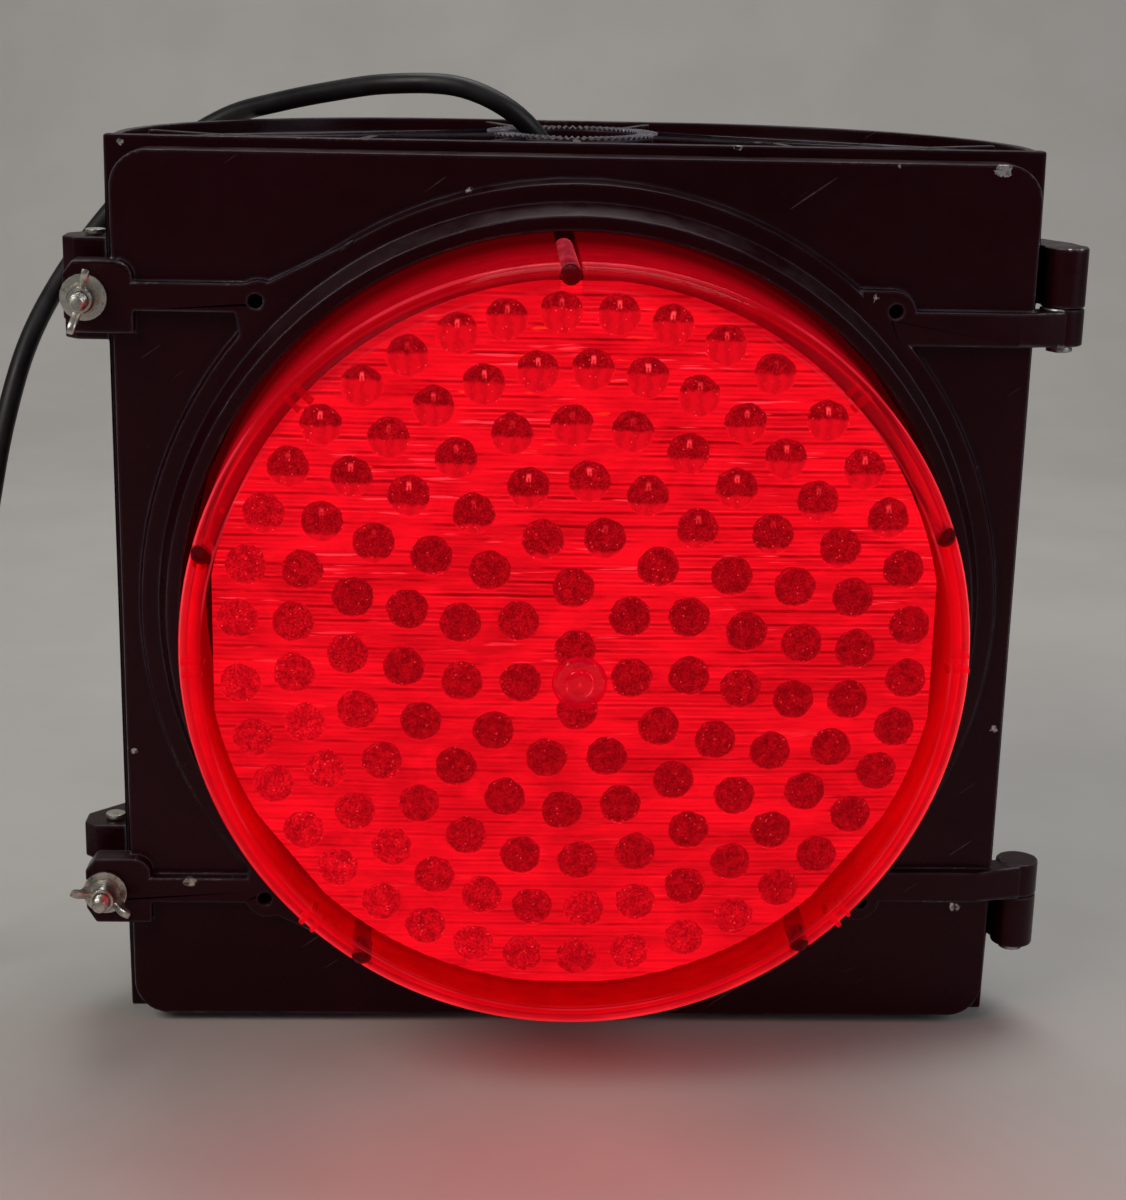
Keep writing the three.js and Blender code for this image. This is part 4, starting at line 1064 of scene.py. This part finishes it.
# ---------------- latches
def threaded_bolt(name, z):
    """Eye bolt with a rolled thread."""
    bm = bmesh.new()
    low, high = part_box(f"swing_bolt_{name}")
    tip, plain = low.y, -9 * MM
    sides, per_turn = 24, 8
    rows = int((plain - tip) / THREAD * per_turn)
    rings = []
    for j in range(rows + 1):
        y = tip + (plain - tip) * j / rows
        lead_in = smooth_step(y, tip, tip + 1.6 * MM)
        row = []
        for i, a in enumerate(round_angles(sides)):
            phase = (y / THREAD + i / sides) % 1
            depth = 0.62 * MM * (1 - abs(2 * phase - 1)) * (1 - smooth_step(y, plain - 3 * MM, plain))
            r = BOLT_R - depth - 0.6 * MM * (1 - lead_in)
            row.append(bm.verts.new((LATCH_X + r * math.cos(a), y, z + r * math.sin(a))))
        rings.append(row)
    rings.append([bm.verts.new((LATCH_X + BOLT_R * math.cos(a), -3 * MM, z + BOLT_R * math.sin(a)))
                  for a in round_angles(sides)])
    skin(bm, rings, ends=True)
    # the eye, a ring about the pin
    eye = profile(0, (4.8, -4), (5.6, -3.2), (5.6, 3.2), (4.8, 4), (3.1, 4), (2.8, 3.7), (2.8, -3.7),
                  (3.1, -4))
    columns = [[bm.verts.new((LATCH_X + r * math.cos(a), r * math.sin(a), z + h)) for r, h in eye]
               for a in round_angles(40)]
    skin(bm, columns + columns[:1])
    piece(f"eye_bolt_{name}", bm, [MATERIALS["zinc"]], f"swing_bolt_{name}",
          [f"swing_bolt_{name}"], 50)


def bezier(p0, p1, p2, steps):
    """Points of a quadratic curve, without its first."""
    return [tuple((1 - t) ** 2 * a + 2 * t * (1 - t) * b + t * t * c for a, b, c in zip(p0, p1, p2))
            for t in ((i + 1) / steps for i in range(steps))]


def wing_outline():
    """One wing, as (distance from the axis, height above the seat), in millimetres."""
    at = [(2.9, 0.9)]
    for control, end in (((7.4, 0.9), (8.6, 4.6)), ((9.5, 9.0), (11.2, 10.0)), ((12.6, 10.9), (12.3, 12.6)),
                         ((9.6, 13.6), (7.2, 10.8)), ((5.4, 8.4), (2.9, 7.0))):
        at += bezier(at[-1], control, end, 6)
    return at


def wing_nut(name, z, turn):
    bm = bmesh.new()
    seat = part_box(f"wing_nut_{name}")[1].y
    hole = BOLT_R / MM + 0.1
    hub = profile(seat, (hole, 0), (5.4, 0), (6, -0.5), (5.9, -2.2), (5.2, -6), (4.9, -7.6), (4.5, -8),
                  (hole + 0.4, -8), (hole, -7.5))
    turned(bm, hub, LATCH_X, z, 32)
    outline = wing_outline()
    cx, cy = (sum(values) / len(outline) for values in zip(*outline))
    for half in (0, 180):
        a = math.radians(half + turn)
        rows = []
        for side, shrink in ((-1.35, 0.45), (-0.9, 0), (0.9, 0), (1.35, 0.45)):
            row = []
            for out, up in outline:
                d = math.hypot(out - cx, up - cy)
                pull = 1 - shrink / d
                u, v = cx + (out - cx) * pull, cy + (up - cy) * pull
                row.append(bm.verts.new((LATCH_X + (u * math.cos(a) - side * math.sin(a)) * MM,
                                         seat - 0.92 * v * MM,
                                         z + (u * math.sin(a) + side * math.cos(a)) * MM)))
            rows.append(row)
        skin(bm, rows, ends=True)
    piece(f"wing_nut_cast_{name}", bm, [MATERIALS["zinc"]], f"wing_nut_{name}",
          [f"wing_nut_{name}"], 45)


for latch, (latch_z, wing_turn) in LATCHES.items():
    threaded_bolt(latch, latch_z)
    wing_nut(latch, latch_z, wing_turn)


# ---------------- module lead
def across(points):
    """Each point of a line, the next one, and two directions across it that don't twist."""
    side = None
    for i, point in enumerate(points):
        ahead = points[min(i + 1, len(points) - 1)]
        along = (ahead - points[max(i - 1, 0)]).normalized()
        side = along.orthogonal() if side is None else side - along * side.dot(along)
        side = side.normalized()
        yield point, ahead, side, along.cross(side)


def tube(bm, points, radius, sides=12, slot=0):
    """A closed tube along points."""
    rings = [ring(bm, point, side, other, radius, sides) for point, _, side, other in across(points)]
    skin(bm, rings, slot, ends=True)


LEAD_ROUTE = [
    (22, 50, 177), (22, 60, 177), (27, 68, 177), (44, 69, 176), (82, 60, 170), (118, 40, 160),
    (142, 21, 150), (153, 8, 137), (155.5, 4.6, 124), (157.5, 10, 112), (158, 30, 112), (148, 55, 122),
    (127, 75, 136), (100, 89, 147), (67, 93, 151),
]


def module_lead():
    """Two wires twisted together, from the module to the terminal block."""
    centre = catmull(metres(LEAD_ROUTE), 2 * MM)
    bm = bmesh.new()
    travelled = 0
    strands = ([], [])
    for point, ahead, side, other in across(centre):
        a = 2 * math.pi * travelled / (38 * MM)
        offset = (side * math.cos(a) + other * math.sin(a)) * 1.45 * MM
        strands[0].append(point + offset)
        strands[1].append(point - offset)
        travelled += (ahead - point).length
    tube(bm, strands[0], 1.4 * MM, slot=0)
    tube(bm, strands[1], 1.4 * MM, slot=1)
    bmesh.ops.recalc_face_normals(bm, faces=bm.faces)
    obj = mesh_object("module_wires", bm, [MATERIALS["cord_jacket"], MATERIALS["white_wire"]])
    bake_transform(obj)
    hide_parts("module_lead", "module_lead_tail")


module_lead()

MAINS_LEAD.data.materials.append(MATERIALS["cord_jacket"])


# ---------------- stage and light
def stage():
    """A pale floor that curves up into a backdrop."""
    bm = bmesh.new()
    line = [(-3.0, 0), (1.1, 0)]
    line += [(1.1 + 0.7 * math.sin(a), 0.7 - 0.7 * math.cos(a))
             for a in (math.radians(10 * i) for i in range(1, 10))]
    line += [(1.8, 3.2)]
    rows = [[bm.verts.new((x, y, z)) for y, z in line] for x in (-4.0, 4.0)]
    for i in range(len(line) - 1):
        bm.faces.new((rows[0][i], rows[1][i], rows[1][i + 1], rows[0][i + 1]))
    t = Tree("floor_paper")
    mottle = t.noise(8, 4)
    t.set(base_color=t.mix(t.ramp(mottle, 0.3, 0.7), (0.53, 0.51, 0.48), (0.57, 0.55, 0.52)),
          roughness=0.75)
    t.bump(t.noise(250, 4, 0.7), 0.1 * MM)
    mesh_object("floor", bm, [t.material])


def area_light(name, place, aim, size, power, colour=(1, 1, 1)):
    data = bpy.data.lights.new(name, "AREA")
    data.shape = "RECTANGLE"
    data.size, data.size_y = size
    data.energy = power
    data.color = colour
    lamp = link(bpy.data.objects.new(name, data))
    lamp.location = place
    lamp.rotation_euler = (Vector(aim) - Vector(place)).to_track_quat("-Z", "Y").to_euler()
    return lamp


def lights():
    world = bpy.data.worlds.new("studio")
    bpy.context.scene.world = world
    world.use_nodes = True
    world.node_tree.nodes["Background"].inputs[0].default_value = (0.80, 0.82, 0.86, 1)
    world.node_tree.nodes["Background"].inputs[1].default_value = 0.07
    middle = (0, 0, AXIS_Z)
    area_light("key", (-1.3, -1.2, 1.7), middle, (1.2, 1.2), 18, (1, 0.96, 0.91))
    area_light("fill", (1.5, -0.9, 0.9), middle, (1, 1.4), 7, (0.92, 0.95, 1))
    area_light("top", (0.2, 0.7, 1.9), middle, (1.6, 1), 17)
    # what the lit lens throws on the floor in front of it
    glow = area_light("lens_glow", (0, DOME_Y - 12 * MM, AXIS_Z), (0, -0.6, 0), (0.26, 0.26), 0.22,
                      (1, 0.01, 0.03))
    glow.data.shape = "DISK"
    glow.visible_camera = False
    glow.visible_glossy = False
    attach(glow, "door")
    view = bpy.context.scene.view_settings
    view.view_transform = "Standard"
    view.look = "None"


stage()
lights()
